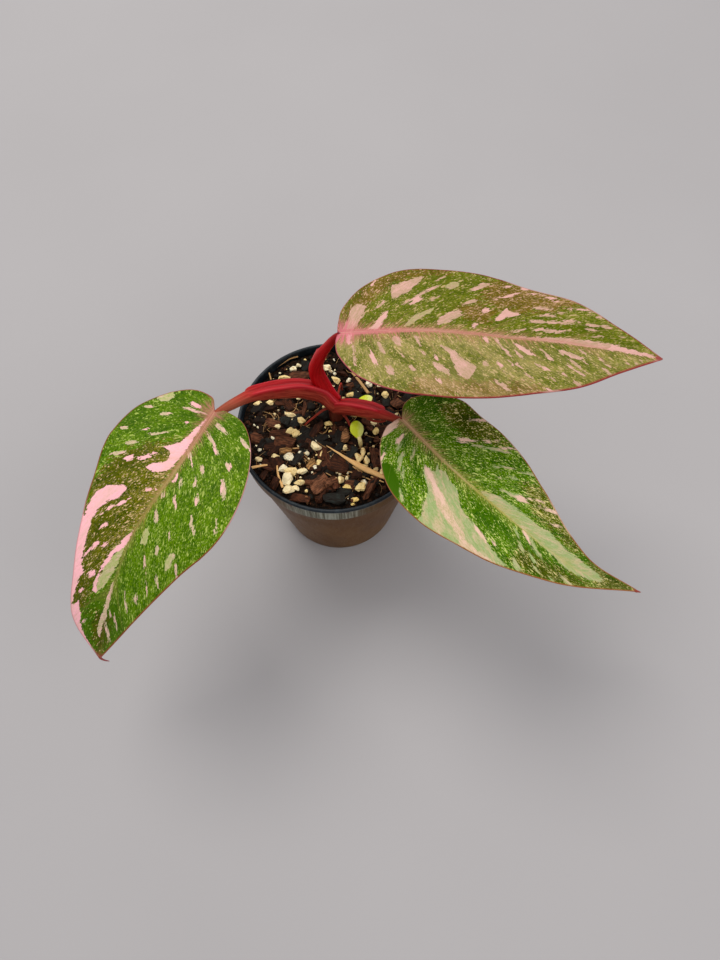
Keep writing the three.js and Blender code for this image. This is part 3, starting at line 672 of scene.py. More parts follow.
# The marbling, in the same order: the share of specks on green and on bronze, a push towards bronze,
# the finest cells across and along a vein, how softly a sector ends, and the heart's glow and reach.
LEAF_SPREADS = {
    "specks": (0.1, 0.12, 0.115),
    "bronze_specks": (0.1, 0.17, 0.19),
    "bronze_bias": (0.0, 0.08, 0.0),
    "grain": ((0.34, 0.5), (0.32, 0.5), (0.34, 0.42)),
    "soft": (0.05, 0.05, 0.2),
    "base_glow": (0.8, 1.0, 0.6),
    "glow_reach": (8.0, 8.0, 5.5),
}
UNDERSIDE = tone(112, 52, 46)
TIP = tone(140, 56, 54)


def leaf_look(name):
    """One leaf's column of the two tables above."""
    k = list(LEAVES).index(name)
    look = {label: tone(*column[k]) for label, column in LEAF_TINTS.items()}
    return {**look, **{label: column[k] for label, column in LEAF_SPREADS.items()}}


def marbled(s, look, vein, fine, middle):
    """Greens and bronzes in fine cells, pale specks that follow the veins, and a painted sheen over them."""
    broad = s.stretched(vein, (0.16, 0.1, 1), 3, 0.6)
    # dark darkens the green, and also carries the painted shade zones.
    dark = s.number("dark")
    shade = s.linear(fine[0], 0.85, s.linear(middle[0], 0.25, -0.2))
    shade = s.plus(shade, s.linear(broad, 1.4, -0.65), clamp=True)
    shade = s.times(shade, s.linear(dark, -0.5, 1.0))
    patchy = s.linear(middle[1], 0.6, s.linear(broad, 0.8, -0.7))
    patchy = s.plus(patchy, look["bronze_bias"])
    bronze = s.step(s.plus(s.number("bronze"), patchy), 0.3, 0.7)
    green = s.mix(shade, look["deep"], look["green"])
    leafy = s.mix(bronze, green, s.mix(shade, look["bronze_deep"], look["bronze"]))

    share = s.linear(bronze, look["bronze_specks"] - look["specks"], look["specks"])
    share = s.times(share, s.linear(broad, 3.6, -0.8))
    share = s.times(share, s.linear(dark, -0.5, 1.0))
    speck = s.maths("GREATER_THAN", fine[1], s.maths("SUBTRACT", 1.0, share))
    speck = s.times(speck, s.linear(fine[2], 0.55, 0.45))
    pale_speck = s.mix(bronze, look["fleck"], look["bronze_fleck"])
    colour = s.mix(speck, leafy, pale_speck)
    patch = s.maths("GREATER_THAN", middle[2], s.linear(share, -0.16, 1.0))
    colour = s.mix(s.times(patch, 0.8), colour, pale_speck)
    sprinkle = s.cells(vein, (0.3, 0.42, 1), 19.7)
    lively = s.times(s.maths("GREATER_THAN", sprinkle[0], 0.8), s.linear(dark, -0.4, 0.4))
    colour = s.mix(s.times(lively, sprinkle[1]), colour, pale_speck)
    # Painted sheen: a pale wash in the zones given for it.
    painted_sheen = s.times(s.number("painted_sheen"), s.step(broad, 0.36, 0.62, 0.08, 0.34))
    colour = s.mix(painted_sheen, colour, look["painted_sheen"])
    plain = s.step(s.number("plain"), -0.5, 0.3)
    return s.mix(plain, colour, s.mix(0.16, look["deep"], look["green"]))


def with_sectors(s, look, colour, drawn, vein, fine, middle):
    """The pink, pale and mint sectors and flecks over colour, with edges that step from cell to cell."""
    blocks = s.cells(drawn, (0.95, 2.1, 1), 11.3)
    jag = s.linear(s.stretched(drawn, (0.6, 0.22, 1), 3, 0.6), 0.8, -0.4)
    jag = s.plus(jag, s.linear(blocks[0], 0.6, -0.3))
    jag = s.plus(jag, s.linear(fine[0], 0.25, -0.12))
    cloud = s.stretched(vein, (0.35, 0.16, 1), 3, 0.6)
    for tint, other in (("mint", "pale"), ("pale", "pink"), ("pink", "pale")):
        shown = s.step(s.plus(s.number(tint), jag), -look["soft"], look["soft"])
        drift = s.times(s.step(cloud, 0.42, 0.66), 0.3 if tint == "pink" else 0.75)
        wash = s.mix(drift, look[tint], look[other])
        mottle = s.step(fine[2], 0.35, 1.0, 0.0, 0.12 if tint == "pink" else 0.3)
        wash = s.mix(mottle, wash, look["green"])
        wash = s.mix(s.step(middle[0], 0.5, 1.0, 0.0, 0.2), wash, look["pink"])
        colour = s.mix(shown, colour, wash)
    return colour


def with_rib(s, look, colour, place, vein):
    """The rosy heart over colour, and a feathered midrib that fades towards the tip."""
    _, run, _ = s.split(vein)
    rays = s.step(s.stretched(vein, (0.9, 0.05, 1), 2), 0.35, 0.65, 0.15, 1.0)
    glow = s.step(s.number("from_base"), 1.0, look["glow_reach"], look["base_glow"], 0.0)
    colour = s.mix(s.times(glow, rays), colour, look["heart"])
    rib_colour = s.mix(s.step(s.number("from_base"), 4.0, 40.0), look["rib_base"], look["rib"])
    showing = s.times(s.number("rib_show"), s.step(s.number("pink"), -0.1, 0.3, 1.0, 0.2))
    feather = s.step(s.stretched(vein, (2.0, 0.1, 1), 2), 0.45, 0.62)
    feather = s.times(feather, s.step(run, 0.8, 6.0, 0.75, 0.0))
    colour = s.mix(s.times(feather, showing), colour, rib_colour)
    thread = s.stretched(place, (0.05, 2.4, 1), 3, 0.6)
    stripe = s.plus(s.number("rib"), s.linear(thread, 2.2, -1.1))
    stripe = s.times(s.step(stripe, 0.1, 1.5, 1.0, 0.0), showing)
    lined = s.mix(s.step(thread, 0.46, 0.6, 0.0, 0.7), rib_colour, look["rib_line"])
    return s.mix(s.times(stripe, 0.9), colour, lined)


def with_margin(s, look, colour):
    """The thin red margin over colour, paler beside pink, and the brown tip."""
    edge_colour = s.mix(s.step(s.number("pink"), -2.5, -0.5, 0.0, 0.55), look["margin"], look["pink"])
    edge_colour = s.mix(s.step(s.number("from_base"), 16.0, 40.0, 0.4, 0.0), edge_colour, look["heart"])
    edge = s.step(s.number("edge"), 0.04, 0.5, 0.95, 0.0)
    colour = s.mix(edge, colour, edge_colour)
    tip = s.step(s.number("from_tip"), 0.5, 3.5, 0.85, 0.0)
    return s.mix(tip, colour, TIP)


def leaf_material(name, look, underside=False):
    """One face of a variegated leaf. Its marbling lies in a space that runs across and along the side
    veins: drawn is that space pushed about by noise, and vein the same with finer noise on top."""
    s = Shader(name, Specular_IOR_Level=0.07, Specular_Tint=(1.0, 0.95, 0.35, 1))
    place = s.vector("place")
    drawn = s.noise_shift(s.vector("vein"), 0.5, 0.7)
    vein = s.noise_shift(drawn, 2.2, 0.25)
    fine = s.cells(vein, (*look["grain"], 1), 3.1)
    middle = s.cells(vein, (0.6, 1.2, 1), 7.7)
    colour = with_sectors(s, look, marbled(s, look, vein, fine, middle), drawn, vein, fine, middle)
    lateral = s.step(s.number("lateral"), 0.0, 0.32, 1.0, 0.0)
    colour = s.mix(s.times(lateral, 0.14), colour, look["rib"])
    colour = with_rib(s, look, colour, place, vein)
    colour = with_margin(s, look, colour)
    if underside:
        colour = s.mix(0.6, colour, UNDERSIDE)
    grain = s.noise(place, 2.4, 3, 0.6)
    height = s.linear(grain, 0.5, s.times(fine[0], 0.25))
    height = s.plus(height, s.times(lateral, -0.5))
    roughness = s.linear(grain, 0.16, 0.52 if underside else 0.34)
    return s.finish(colour, roughness, height, 0.00012, 0.8)


def stalk_material():
    """Fleshy crimson skin, browner below, with fine lengthwise lines, a pink ridge and pale edge on each
    wing that are partly painted highlight, and painted shade in the grooves, at the hub and underneath.
    """
    s = Shader("stalk_skin", Specular_IOR_Level=0.12, Specular_Tint=(1.0, 0.6, 0.6, 1))
    skin = s.vector("skin")
    around, _, _ = s.split(skin)
    lines = s.stretched(skin, (4.5, 0.09, 1), 3, 0.6)
    lined = s.step(lines, 0.35, 0.7)
    blotch = s.noise(skin, 0.16, 3)
    below = s.step(s.plus(s.maths("ABSOLUTE", around), blotch), 1.25, 1.95)
    below = s.times(below, s.number("brown"))
    crimson = s.mix(lined, tone(172, 0, 8), tone(196, 6, 20))
    dusty = s.mix(lined, tone(150, 18, 22), tone(184, 38, 42))
    upper = s.mix(s.number("brown"), crimson, dusty)
    lower = s.mix(lined, tone(122, 34, 24), tone(168, 66, 48))
    colour = s.mix(below, upper, lower)
    # Partly the wings' pinker skin, partly a painted highlight along their tops.
    ridge = s.step(s.number("wing"), 0.4, 0.95)
    colour = s.mix(s.times(ridge, 0.34), colour, tone(214, 40, 66))
    # A thin pale edge on each wing, partly its own colour, partly a painted highlight.
    crest = s.step(s.number("wing"), 0.9, 1.0)
    colour = s.mix(s.times(crest, 0.3), colour, tone(222, 116, 108))
    # Painted shade in the groove between the wings.
    groove = s.step(s.number("wing"), -0.6, -0.1, 0.35, 0.0)
    colour = s.mix(groove, colour, tone(110, 12, 20))
    brownish = s.mix(s.number("brown"), tone(130, 6, 14), s.mix(lines, tone(88, 28, 18), tone(124, 48, 32)))
    tan = s.mix(lines, tone(116, 56, 36), tone(176, 104, 76))
    later = s.step(s.number("towards_blade"), 0.52, 0.78, 0.0, 0.85)
    colour = s.mix(later, colour, s.mix(s.number("pale"), brownish, tan))
    # Painted shade at the hub, over the stem, on the roots near it and under the petioles.
    colour = s.mix(s.times(s.number("shade"), 0.82), colour, tone(60, 15, 10))
    height = s.linear(lines, 0.8, s.noise(skin, 1.5, 2))
    roughness = s.linear(lines, 0.2, 0.34)
    return s.finish(colour, roughness, height, 0.00012, 0.7)


def pot_material():
    """Thin injection-moulded dark plastic: a painted brown reflection in front, fading to its own
    near-black behind, and a painted grey highlight on the band in front.
    """
    s = Shader("black_plastic", Specular_IOR_Level=0.08, Specular_Tint=(1.0, 0.6, 0.3, 1))
    place = s.object_place()
    sideways, forwards, height_up = s.split(place)
    streaks = s.stretched(place, (1.3, 1.3, 0.05), 4, 0.7)
    patches = s.stretched(place, (0.3, 0.3, 0.1), 3, 0.6)
    # Painted highlight: pale grey streaks on the band, in front only.
    off_centre = s.maths("ABSOLUTE", s.plus(sideways, 3.0))
    highlight_area = s.step(s.plus(off_centre, s.times(patches, 10.0)), 11.0, 27.0, 1.0, 0.0)
    highlight_area = s.times(highlight_area, s.step(forwards, -20.0, -10.0, 1.0, 0.0))
    scuffs = s.noise(place, 0.05, 2, 0.5)
    # Painted reflection: the warm browns of body and band stand for wood mirrored in the dark plastic.
    body = s.mix(s.step(scuffs, 0.35, 0.65), tone(90, 56, 16), tone(101, 66, 22))
    painted_highlight = s.mix(s.step(streaks, 0.36, 0.68), tone(84, 82, 66), tone(156, 158, 144))
    band = s.mix(highlight_area, s.mix(streaks, tone(78, 50, 16), tone(106, 74, 32)), painted_highlight)
    colour = s.mix(s.step(height_up, BAND_FOOT - 0.5, BAND_FOOT), body, band)
    # Towards the back the painted reflection gives way to the plastic's own near-black.
    colour = s.mix(s.step(forwards, -15.0, 25.0, 0.0, 0.8), colour, tone(36, 32, 30))
    for at in DIRT_SPOTS:
        reach = s.node("VectorMath", place, at, operation="DISTANCE").outputs["Value"]
        dirt = s.step(s.plus(reach, s.times(streaks, 2.0)), 1.7, 2.2, 0.8, 0.0)
        colour = s.mix(dirt, colour, tone(84, 36, 22))
    roughness = s.linear(streaks, 0.2, s.linear(patches, 0.12, 0.2))
    return s.finish(colour, roughness, streaks, 0.00002, 0.4)


def lip_material():
    """The rolled lip and the inside of the wall, cooler and darker than the outside."""
    s = Shader("slate_lip", Specular_IOR_Level=0.25)
    place = s.object_place()
    scuffs = s.noise(place, 0.5, 4, 0.6)
    colour = s.mix(s.step(scuffs, 0.45, 0.75), tone(20, 28, 34), tone(40, 50, 56))
    return s.finish(colour, s.linear(scuffs, 0.3, 0.3), scuffs, 0.00005, 0.5)


def soil_material():
    """Damp peat and coir: nearly black, with brown crumbs and lighter specks."""
    s = Shader("peat_and_coir", Specular_IOR_Level=0.1)
    place = s.vector("place")
    crumbs = s.noise(place, 0.9, 5, 0.65)
    fine = s.noise(place, 3.5, 3, 0.6)
    colour = s.mix(s.step(crumbs, 0.4, 0.75), tone(8, 5, 3), tone(60, 37, 22))
    colour = s.mix(s.step(fine, 0.62, 0.75, 0.0, 0.4), colour, tone(106, 70, 42))
    return s.finish(colour, 0.9, s.linear(fine, 0.6, crumbs), 0.0006)


def bark_material():
    """Fir bark: the tone runs from charred through brown and reddish to tan."""
    s = Shader("bark", Specular_IOR_Level=0.12)
    grain_place = s.vector("grain")
    shade = s.number("tone")
    grain = s.stretched(grain_place, (0.35, 2.2, 1.6), 4, 0.65)
    blotch = s.noise(grain_place, 0.6, 3)
    ramp = s.node("ValToRGB", s.linear(blotch, 0.3, s.plus(shade, -0.15)))
    stops = [(0.0, tone(44, 48, 44)), (0.2, tone(22, 12, 6)), (0.45, tone(96, 54, 34)),
             (0.7, tone(150, 98, 68)), (1.0, tone(196, 146, 88))]
    while len(ramp.color_ramp.elements) < len(stops):
        ramp.color_ramp.elements.new(0.5)
    for element, (at, colour) in zip(ramp.color_ramp.elements, stops, strict=True):
        element.position = at
        element.color = colour
    colour = s.mix(s.step(grain, 0.42, 0.6, 0.75, 0.0), ramp.outputs[0], tone(30, 18, 13))
    return s.finish(colour, s.linear(grain, 0.25, 0.6), grain, 0.0005)


def perlite_material():
    """Expanded perlite: cream to white, pitted, with orange-tan patches spread by noise."""
    s = Shader("perlite_grain", Specular_IOR_Level=0.15)
    grain_place = s.vector("grain")
    tan_patches = s.noise(grain_place, 0.75, 3, 0.6)
    pits = s.texture("Voronoi", grain_place, Scale=2.2)
    colour = s.mix(s.number("tone"), tone(250, 212, 116), tone(255, 248, 216))
    colour = s.mix(s.step(tan_patches, 0.52, 0.7, 0.0, 0.75), colour, tone(196, 138, 62))
    height = s.linear(pits.outputs["Distance"], 0.7, tan_patches)
    return s.finish(colour, 0.85, height, 0.0003)


def straw_material():
    """Straw and fibres: the tone runs from brown to bright straw."""
    s = Shader("straw_fibre", Specular_IOR_Level=0.35)
    grain = s.stretched(s.vector("grain"), (0.25, 3.0, 3.0), 3, 0.6)
    dull = s.mix(s.number("tone"), tone(66, 42, 24), tone(255, 202, 130))
    colour = s.mix(s.step(grain, 0.35, 0.65, 0.25, 0.0), dull, tone(150, 96, 50))
    return s.finish(colour, 0.65, grain, 0.0002)


def sprout_material():
    """Lime green, mottled with cream, on a cream stalk."""
    s = Shader("young_leaf", Specular_IOR_Level=0.5)
    place = s.vector("grain")
    mottled = s.noise(place, 1.2, 3, 0.6)
    side, along, _ = s.split(place)
    share = s.linear(side, 0.16, s.linear(mottled, 0.5, 0.2))
    share = s.linear(along, -0.05, share)
    colour = s.mix(s.step(share, 0.4, 0.85), tone(204, 214, 0), tone(228, 230, 128))
    colour = s.mix(s.step(s.number("tone"), 0.55, 1.0), colour, tone(236, 214, 146))
    return s.finish(colour, s.linear(mottled, 0.1, 0.35), mottled, 0.0002)


def floor_material():
    """Matt pale grey paint."""
    s = Shader("floor_paint", Specular_IOR_Level=0.2)
    cloud = s.noise(s.node("TexCoord").outputs["Object"], 6.0, 3)
    colour = s.mix(cloud, tone(164, 161, 162), tone(172, 169, 170))
    return s.finish(colour, 0.9)


# ---- leaves ----
def margin_curve(leaf, half):
    """One half's outline from the notch at the base to the tip."""
    points = leaf["port"] if half < 0 else leaf["starboard"]
    return [BLADE["notch"], *points, (leaf["length"], BLADE["tip"])]


def vein_place(leaf, half, row, reach, fan, bow):
    """The flat place on the vein that starts at row on the midrib, reach of the way to the margin."""
    start = leaf["length"] * row**fan
    edge = spline(margin_curve(leaf, half), row)
    bowed = reach * (1 - bow + bow * reach)
    return start + (edge[..., 0] - start) * bowed, half * edge[..., 1] * reach


def vein_row(leaf, half, along, across):
    """Which lateral vein passes through each flat place, as its row from 0 to 1, by halving."""
    fan, bow = leaf["veins"][half]
    curve = margin_curve(leaf, half)
    low, high = np.zeros_like(along), np.ones_like(along)
    for _ in range(26):
        row = (low + high) / 2
        width = np.maximum(spline(curve, row)[..., 1], 1e-6)
        reach = np.clip(np.abs(across) / width, 0, 1)
        passes = vein_place(leaf, half, row, reach, fan, bow)[0]
        low, high = np.where(passes < along, row, low), np.where(passes < along, high, row)
    return row, leaf["length"] * row**fan


def vein_spacing(leaf, half, rows):
    """How far across the veins each row lies, in millimetres, measured partway to the margin."""
    fine = np.linspace(0, 1, 600)
    along, across = vein_place(leaf, half, fine, 0.55, *leaf["veins"][half])
    travelled = np.concatenate([[0], np.cumsum(np.hypot(np.diff(along), np.diff(across)))])
    return np.interp(rows, fine, travelled)


def blade_space(leaf, along, across, lift, ribbed=0.0):
    """Flat places in space, lift above the blade's middle surface."""
    t = np.clip(along / leaf["length"], 0, 1)
    forward = heading(leaf["rib"], t)
    right = unit(np.cross(forward, [0, 0, 1]))
    up = np.cross(right, forward)
    rising = np.radians(leaf["fold"][0] + (leaf["fold"][1] - leaf["fold"][0]) * t)
    width = np.abs(across)
    place = spline(leaf["rib"], t) + forward * np.minimum(along, 0)[..., None]
    place = place + right * (across * np.cos(rising))[..., None]
    return place + up * (width * np.sin(rising) - leaf["curl"] * width**2 + lift - ribbed)[..., None]


def even_rows(leaf, count):
    """Rows whose spacing is even where it is widest, along the midrib or the margin."""
    fine = np.linspace(0, 1, 2000)
    start = np.diff(leaf["length"] * fine ** BLADE["fan"])
    steps = [np.abs(start)]
    for half in (-1, 1):
        steps.append(np.linalg.norm(np.diff(spline(margin_curve(leaf, half), fine), axis=0), axis=1))
    travelled = np.concatenate([[0], np.cumsum(np.max(steps, axis=0))])
    return np.interp(np.linspace(0, travelled[-1], count), travelled, fine)


def fleck_depth(leaf, fleck, points):
    """How deep each place lies inside a fleck, which lies along its vein."""
    along, across, length, width = fleck
    half = -1 if across < 0 else 1
    here = np.array([along, across], float)
    row, _ = vein_row(leaf, half, here[:1], here[1:])
    fan, bow = leaf["veins"][half]
    reach = np.clip(abs(across) / spline(margin_curve(leaf, half), row)[..., 1], 0.02, 0.98)
    ahead = np.array(vein_place(leaf, half, row, reach + 0.02, fan, bow))[:, 0]
    behind = np.array(vein_place(leaf, half, row, reach - 0.02, fan, bow))[:, 0]
    first, last, pull = leaf.get("lean", (0, 1, 0))
    pull *= smoothstep(along, first, last) * (half < 0)
    direction = unit((1 - pull) * unit(ahead - behind) + [pull, 0])
    offset = points - here
    u = np.abs(offset @ direction) / (length / 2)
    v = np.abs(offset @ [-direction[1], direction[0]]) / (width / 2)
    return (1 - (u**2.6 + v**2.6) ** (1 / 2.6)) * width / 2


def leaf_markings(leaf, flat):
    """The fields that the leaf material reads at each flat place."""
    far = np.full(len(flat), -5.0)
    fields = {tint: far.copy() for tint in ("pink", "pale", "mint", "plain")}
    for tint, outlines in leaf["sectors"].items():
        for outline in outlines:
            fields[tint] = np.maximum(fields[tint], depth_inside(outline, flat))
    for tint, flecks in leaf["flecks"].items():
        for fleck in flecks:
            fields[tint] = np.maximum(fields[tint], fleck_depth(leaf, fleck, flat))
    for zone in ("bronze", "dark", "dull", "painted_sheen", "faint_painted_sheen"):
        depths = [depth_inside(outline, flat) for outline in leaf["zones"].get(zone, [])]
        deepest = np.max(depths, axis=0) if depths else far
        fields[zone] = np.clip(0.5 + deepest / (2 * SOFT_EDGE), 0, 1)
    # dull is a painted shade, joined to dark at about half strength.
    fields["dark"] = np.maximum(fields["dark"], 0.45 * fields.pop("dull"))
    # The fainter painted sheen joins the painted sheen at about half strength.
    fields["painted_sheen"] = np.maximum(fields["painted_sheen"], 0.55 * fields.pop("faint_painted_sheen"))
    return fields


def blade_grid(leaf):
    """Flat places on both halves of a blade. For each: its reach from the midrib to the margin, where it is,
    its vein's row, start and spacing, and how far off the margin of its row is."""
    rows = even_rows(leaf, BLADE["rows"])
    one_side = np.linspace(0, 1, BLADE["columns"] + 1) ** BLADE["crowding"]
    reaches = np.concatenate([-one_side[:0:-1], one_side])
    row, reach = np.meshgrid(rows, reaches, indexing="ij")
    along, across, vein, start, margin, spaced = (np.zeros_like(row) for _ in range(6))
    for half in (-1, 1):
        here = reach * half >= 0
        a, c = vein_place(leaf, half, row[here], np.abs(reach[here]), BLADE["fan"], BLADE["bow"])
        along[here], across[here] = a, c
        vein[here], start[here] = vein_row(leaf, half, a, c)
        spaced[here] = vein_spacing(leaf, half, vein[here])
        margin[here] = spline(margin_curve(leaf, half), row[here])[..., 1]
    return reach, along, across, vein, start, spaced, margin


def sheet_faces(rows, columns):
    """The upper face of a thin sheet, its lower face, whose points come second, and the wall round them."""
    top = grid_faces(rows, columns)
    count = rows * columns
    rim = np.concatenate([np.arange(rows) * columns, (rows - 1) * columns + np.arange(1, columns),
                          np.arange(rows - 2, -1, -1) * columns + columns - 1, np.arange(columns - 2, 0, -1)])
    after = np.roll(rim, -1)
    return top, top[:, ::-1] + count, np.stack([rim, after, after + count, rim + count], axis=-1)


def make_leaf(name, leaf):
    """Both faces of a blade as one closed mesh, with its drip tip, and the fields that its material reads."""
    reach, along, across, vein, start, spaced, margin = blade_grid(leaf)
    length = leaf["length"]
    t = np.clip(along / length, 0, 1)
    width = np.abs(across)
    run = np.hypot(along - start, across)
    phase = vein * BLADE["laterals"]
    nearest = np.abs(phase - np.round(phase)) * length / BLADE["laterals"]
    nearest *= np.clip(run / BLADE["vein_fade"], 0.1, 1)
    flat = np.stack([along, across, np.zeros_like(along)], axis=-1)

    hollow = BLADE["quilt"] * np.exp(-((nearest / BLADE["quilt_width"]) ** 2)) * smoothstep(width, 0.5, 4)
    hollow *= 1 - smoothstep(np.abs(reach), 0.7, 1.0)
    wave = bumps(flat, BLADE["ripples"], bumps(flat + [0, 0, 40], BLADE["waves"]))
    wave *= smoothstep(width, 1, 8)
    thick = BLADE["half_thickness"] * (1 - BLADE["thinner_margin"] * np.abs(reach) ** 8)
    groove = BLADE["groove"] * (1 - 0.8 * t) * np.exp(-((across / BLADE["groove_width"]) ** 2))
    keel = BLADE["rib_depth"] * (1 - t) * np.exp(-((across / BLADE["rib_width"]) ** 2))
    upper = blade_space(leaf, along, across, thick + wave - hollow, groove)
    lower = blade_space(leaf, along, across, wave - hollow - thick, keel)
    top, bottom, wall = sheet_faces(*reach.shape)

    rims = [leaf.get("rim", RIM)[half] for half in (-1, 1)]
    fields = leaf_markings(leaf, flat[..., :2].reshape(-1, 2))
    fields.update(
        rib=(width / np.maximum(spline(leaf["rib_half"], t), BLADE["thinnest_rib"])).ravel(),
        rib_show=np.clip(spline(leaf["rib_show"], t), 0, 1).ravel(),
        lateral=nearest.ravel(),
        edge=((1 - np.abs(reach)) * np.maximum(margin, 0.3) * 0.5 / np.where(reach < 0, *rims)).ravel(),
        from_base=np.hypot(along, across).ravel(),
        from_tip=(length - along).ravel(),
        place=flat.reshape(-1, 3),
        vein=np.stack([spaced, run, np.sign(reach) * BLADE["halves_apart"]], axis=-1).reshape(-1, 3),
    )
    end = np.add(leaf["rib"][-1], leaf["drip_tip"])
    rings, *_ = tube(end, leaf.get("drip_radii", DRIP_RADII), *GRIDS["drip_tip"])
    (drip,) = closed_tube(rings)
    wound = [[corner + 2 * reach.size for corner in face] for face in tube_faces(rings)]
    faces = [*top.tolist(), *bottom.tolist(), *wall.tolist(), *wound]
    slots = np.zeros(len(faces))
    slots[len(top):2 * len(top)] = 1
    fields = {label: np.concatenate([values, values, np.repeat(values[-1:], len(drip), axis=0)])
              for label, values in fields.items()}
    points = np.vstack([upper.reshape(-1, 3), lower.reshape(-1, 3), drip])
    look = leaf_look(name)
    materials = [leaf_material(f"leaf_{name}_face", look), leaf_material(f"leaf_{name}_back", look, True)]
    return make_piece(f"{name}_leaf_blade", points, faces, materials, [f"leaf_{name}"], fields, slots)


# ---- stalks ----
def tube(path, radii, sides, steps, faces=(0.3, 1, 0.1), sheath=0.0):
    """Rings round a path, and for each point its skin place (angle, distance, 0), its wing height and its
    share of the way along."""
    t = np.linspace(0, 1, steps)[:, None]
    angle = np.linspace(-np.pi, np.pi, sides, endpoint=False)[None, :]
    forward = heading(path, t[:, 0])[:, None, :]
    facing = np.asarray(faces, float)
    opening = unit(facing - forward * (forward @ facing)[..., None])
    side = np.cross(forward, opening)
    near = np.abs(angle)
    on = np.sqrt(1 - np.clip((t - sheath + WING["round"]) / WING["round"], 0, 1) ** 2) if sheath else 0 * t
    lobe = 1 + WING["flare"] * smoothstep(t, sheath - 0.14, sheath - 0.01)
    wing = np.exp(-(((near - np.radians(WING["angle"])) / np.radians(WING["spread"])) ** 2))
    groove = np.exp(-((near / np.radians(WING["groove_spread"])) ** 2))
    radius = spline(radii, t) * (1 + on * (WING["height"] * lobe * wing - WING["groove"] * groove))
    ring = side * (radius * np.sin(angle))[..., None] + opening * (radius * np.cos(angle))[..., None]
    centre = spline(path, t[:, 0])[:, None, :]
    travelled = np.concatenate([[0], np.cumsum(np.linalg.norm(np.diff(centre[:, 0], axis=0), axis=1))])
    skin = np.stack(np.broadcast_arrays(angle, travelled[:, None], 0.0), axis=-1)
    raised = np.broadcast_to(on * (wing - groove), radius.shape)
    return centre + ring, skin, raised, np.broadcast_to(t, radius.shape)


def tube_faces(rings):
    """The wall of a tube and the two fans that close it, given two more points: the ends' centres."""
    steps, sides = rings.shape[:2]
    first = steps * sides
    start = np.arange(sides)
    after = (start + 1) % sides
    last_ring = first - sides
    fans = [[first, int(b), int(a)] for a, b in zip(start, after, strict=True)]
    fans += [[first + 1, int(a + last_ring), int(b + last_ring)] for a, b in zip(start, after, strict=True)]
    return [*grid_faces(steps, sides, closed=True).tolist(), *fans]


def closed_tube(points, *fields):
    """Flattens a tube's points and adds its two end centres, with each field's value there."""
    ends = np.stack([points[0].mean(axis=0), points[-1].mean(axis=0)])
    flat = np.vstack([points.reshape(-1, 3), ends])
    made = []
    for field in fields:
        rows = field.reshape(len(points) * points.shape[1], -1)
        made.append(np.vstack([rows, rows[:1], rows[-1:]]).squeeze())
    return flat, *made


def make_petiole(name, spec, material):
    """A sheathed stalk whose end is drawn in and lowered, so that it stays within the blade's base."""
    rib = LEAVES[name]["rib"]
    end = np.array(spec["path"][-1])
    into = unit(np.array(rib[1], float) - rib[0])
    down, deeper = ([0, 0, -drop] for drop in PETIOLE_END["lowered"])
    path = [*spec["path"][:-1], tuple(end + down), tuple(end + into * PETIOLE_END["onward"] + deeper)]
    radii = [*spec["radii"][:-1], spec["radii"][-1] * PETIOLE_END["drawn_in"], PETIOLE_END["radius"]]
    sheath = spec["sheath"] * (len(spec["path"]) - 1) / (len(path) - 1)
    points, skin, wing, t = tube(path, radii, *GRIDS["petiole"], spec["faces"], sheath)
    outward = unit(points - points.mean(axis=1, keepdims=True))
    rough = points + bumps(points, SKIN["petiole"])[..., None] * outward
    # Painted shade: darker on the underside, most near the hub.
    under = smoothstep(-outward[..., 2], -0.4, 0.7)
    near_hub = 1 - smoothstep(np.linalg.norm(points - HUB, axis=-1), 3, 11)
    shade = under * np.maximum(near_hub, spec["painted_shade_below"])
    flat, skin, wing, t, shade = closed_tube(rough, skin, wing, t, shade)
    stalk = Parts()
    stalk.add(flat, tube_faces(points), wing=wing, towards_blade=t, shade=shade, brown=spec["brown"],
              pale=spec["pale"], skin=skin)
    return stalk.make(f"{name}_petiole", material, [f"petiole_{name}"])


def make_stem(material):
    """The stem in the mix and its aerial roots, in the petioles' skin."""
    stalks = Parts()
    routes = [(STEM, STEM["path"], "stem")] + [(ROOTS, path, "root") for path in ROOTS["paths"]]
    for spec, path, kind in routes:
        rings, skin, wing, _ = tube(path, spec["radii"][: len(path)], *GRIDS[kind])
        flat, skin, wing = closed_tube(rings, skin, wing)
        from_hub = np.linalg.norm(flat - HUB, axis=-1)
        # Painted shade: nearly all of the stem, and the roots near the hub.
        shade = spec["shade"] * (1 - smoothstep(from_hub, 2, 8)) if kind == "root" else spec["shade"]
        stalks.add(flat + bumps(flat, SKIN["stem"])[:, None], tube_faces(rings), wing=wing,
                   towards_blade=spec["towards_blade"], brown=0.5, pale=0.9, shade=shade, skin=skin)
    return stalks.make("stem_and_aerial_roots", material, ["stem"])


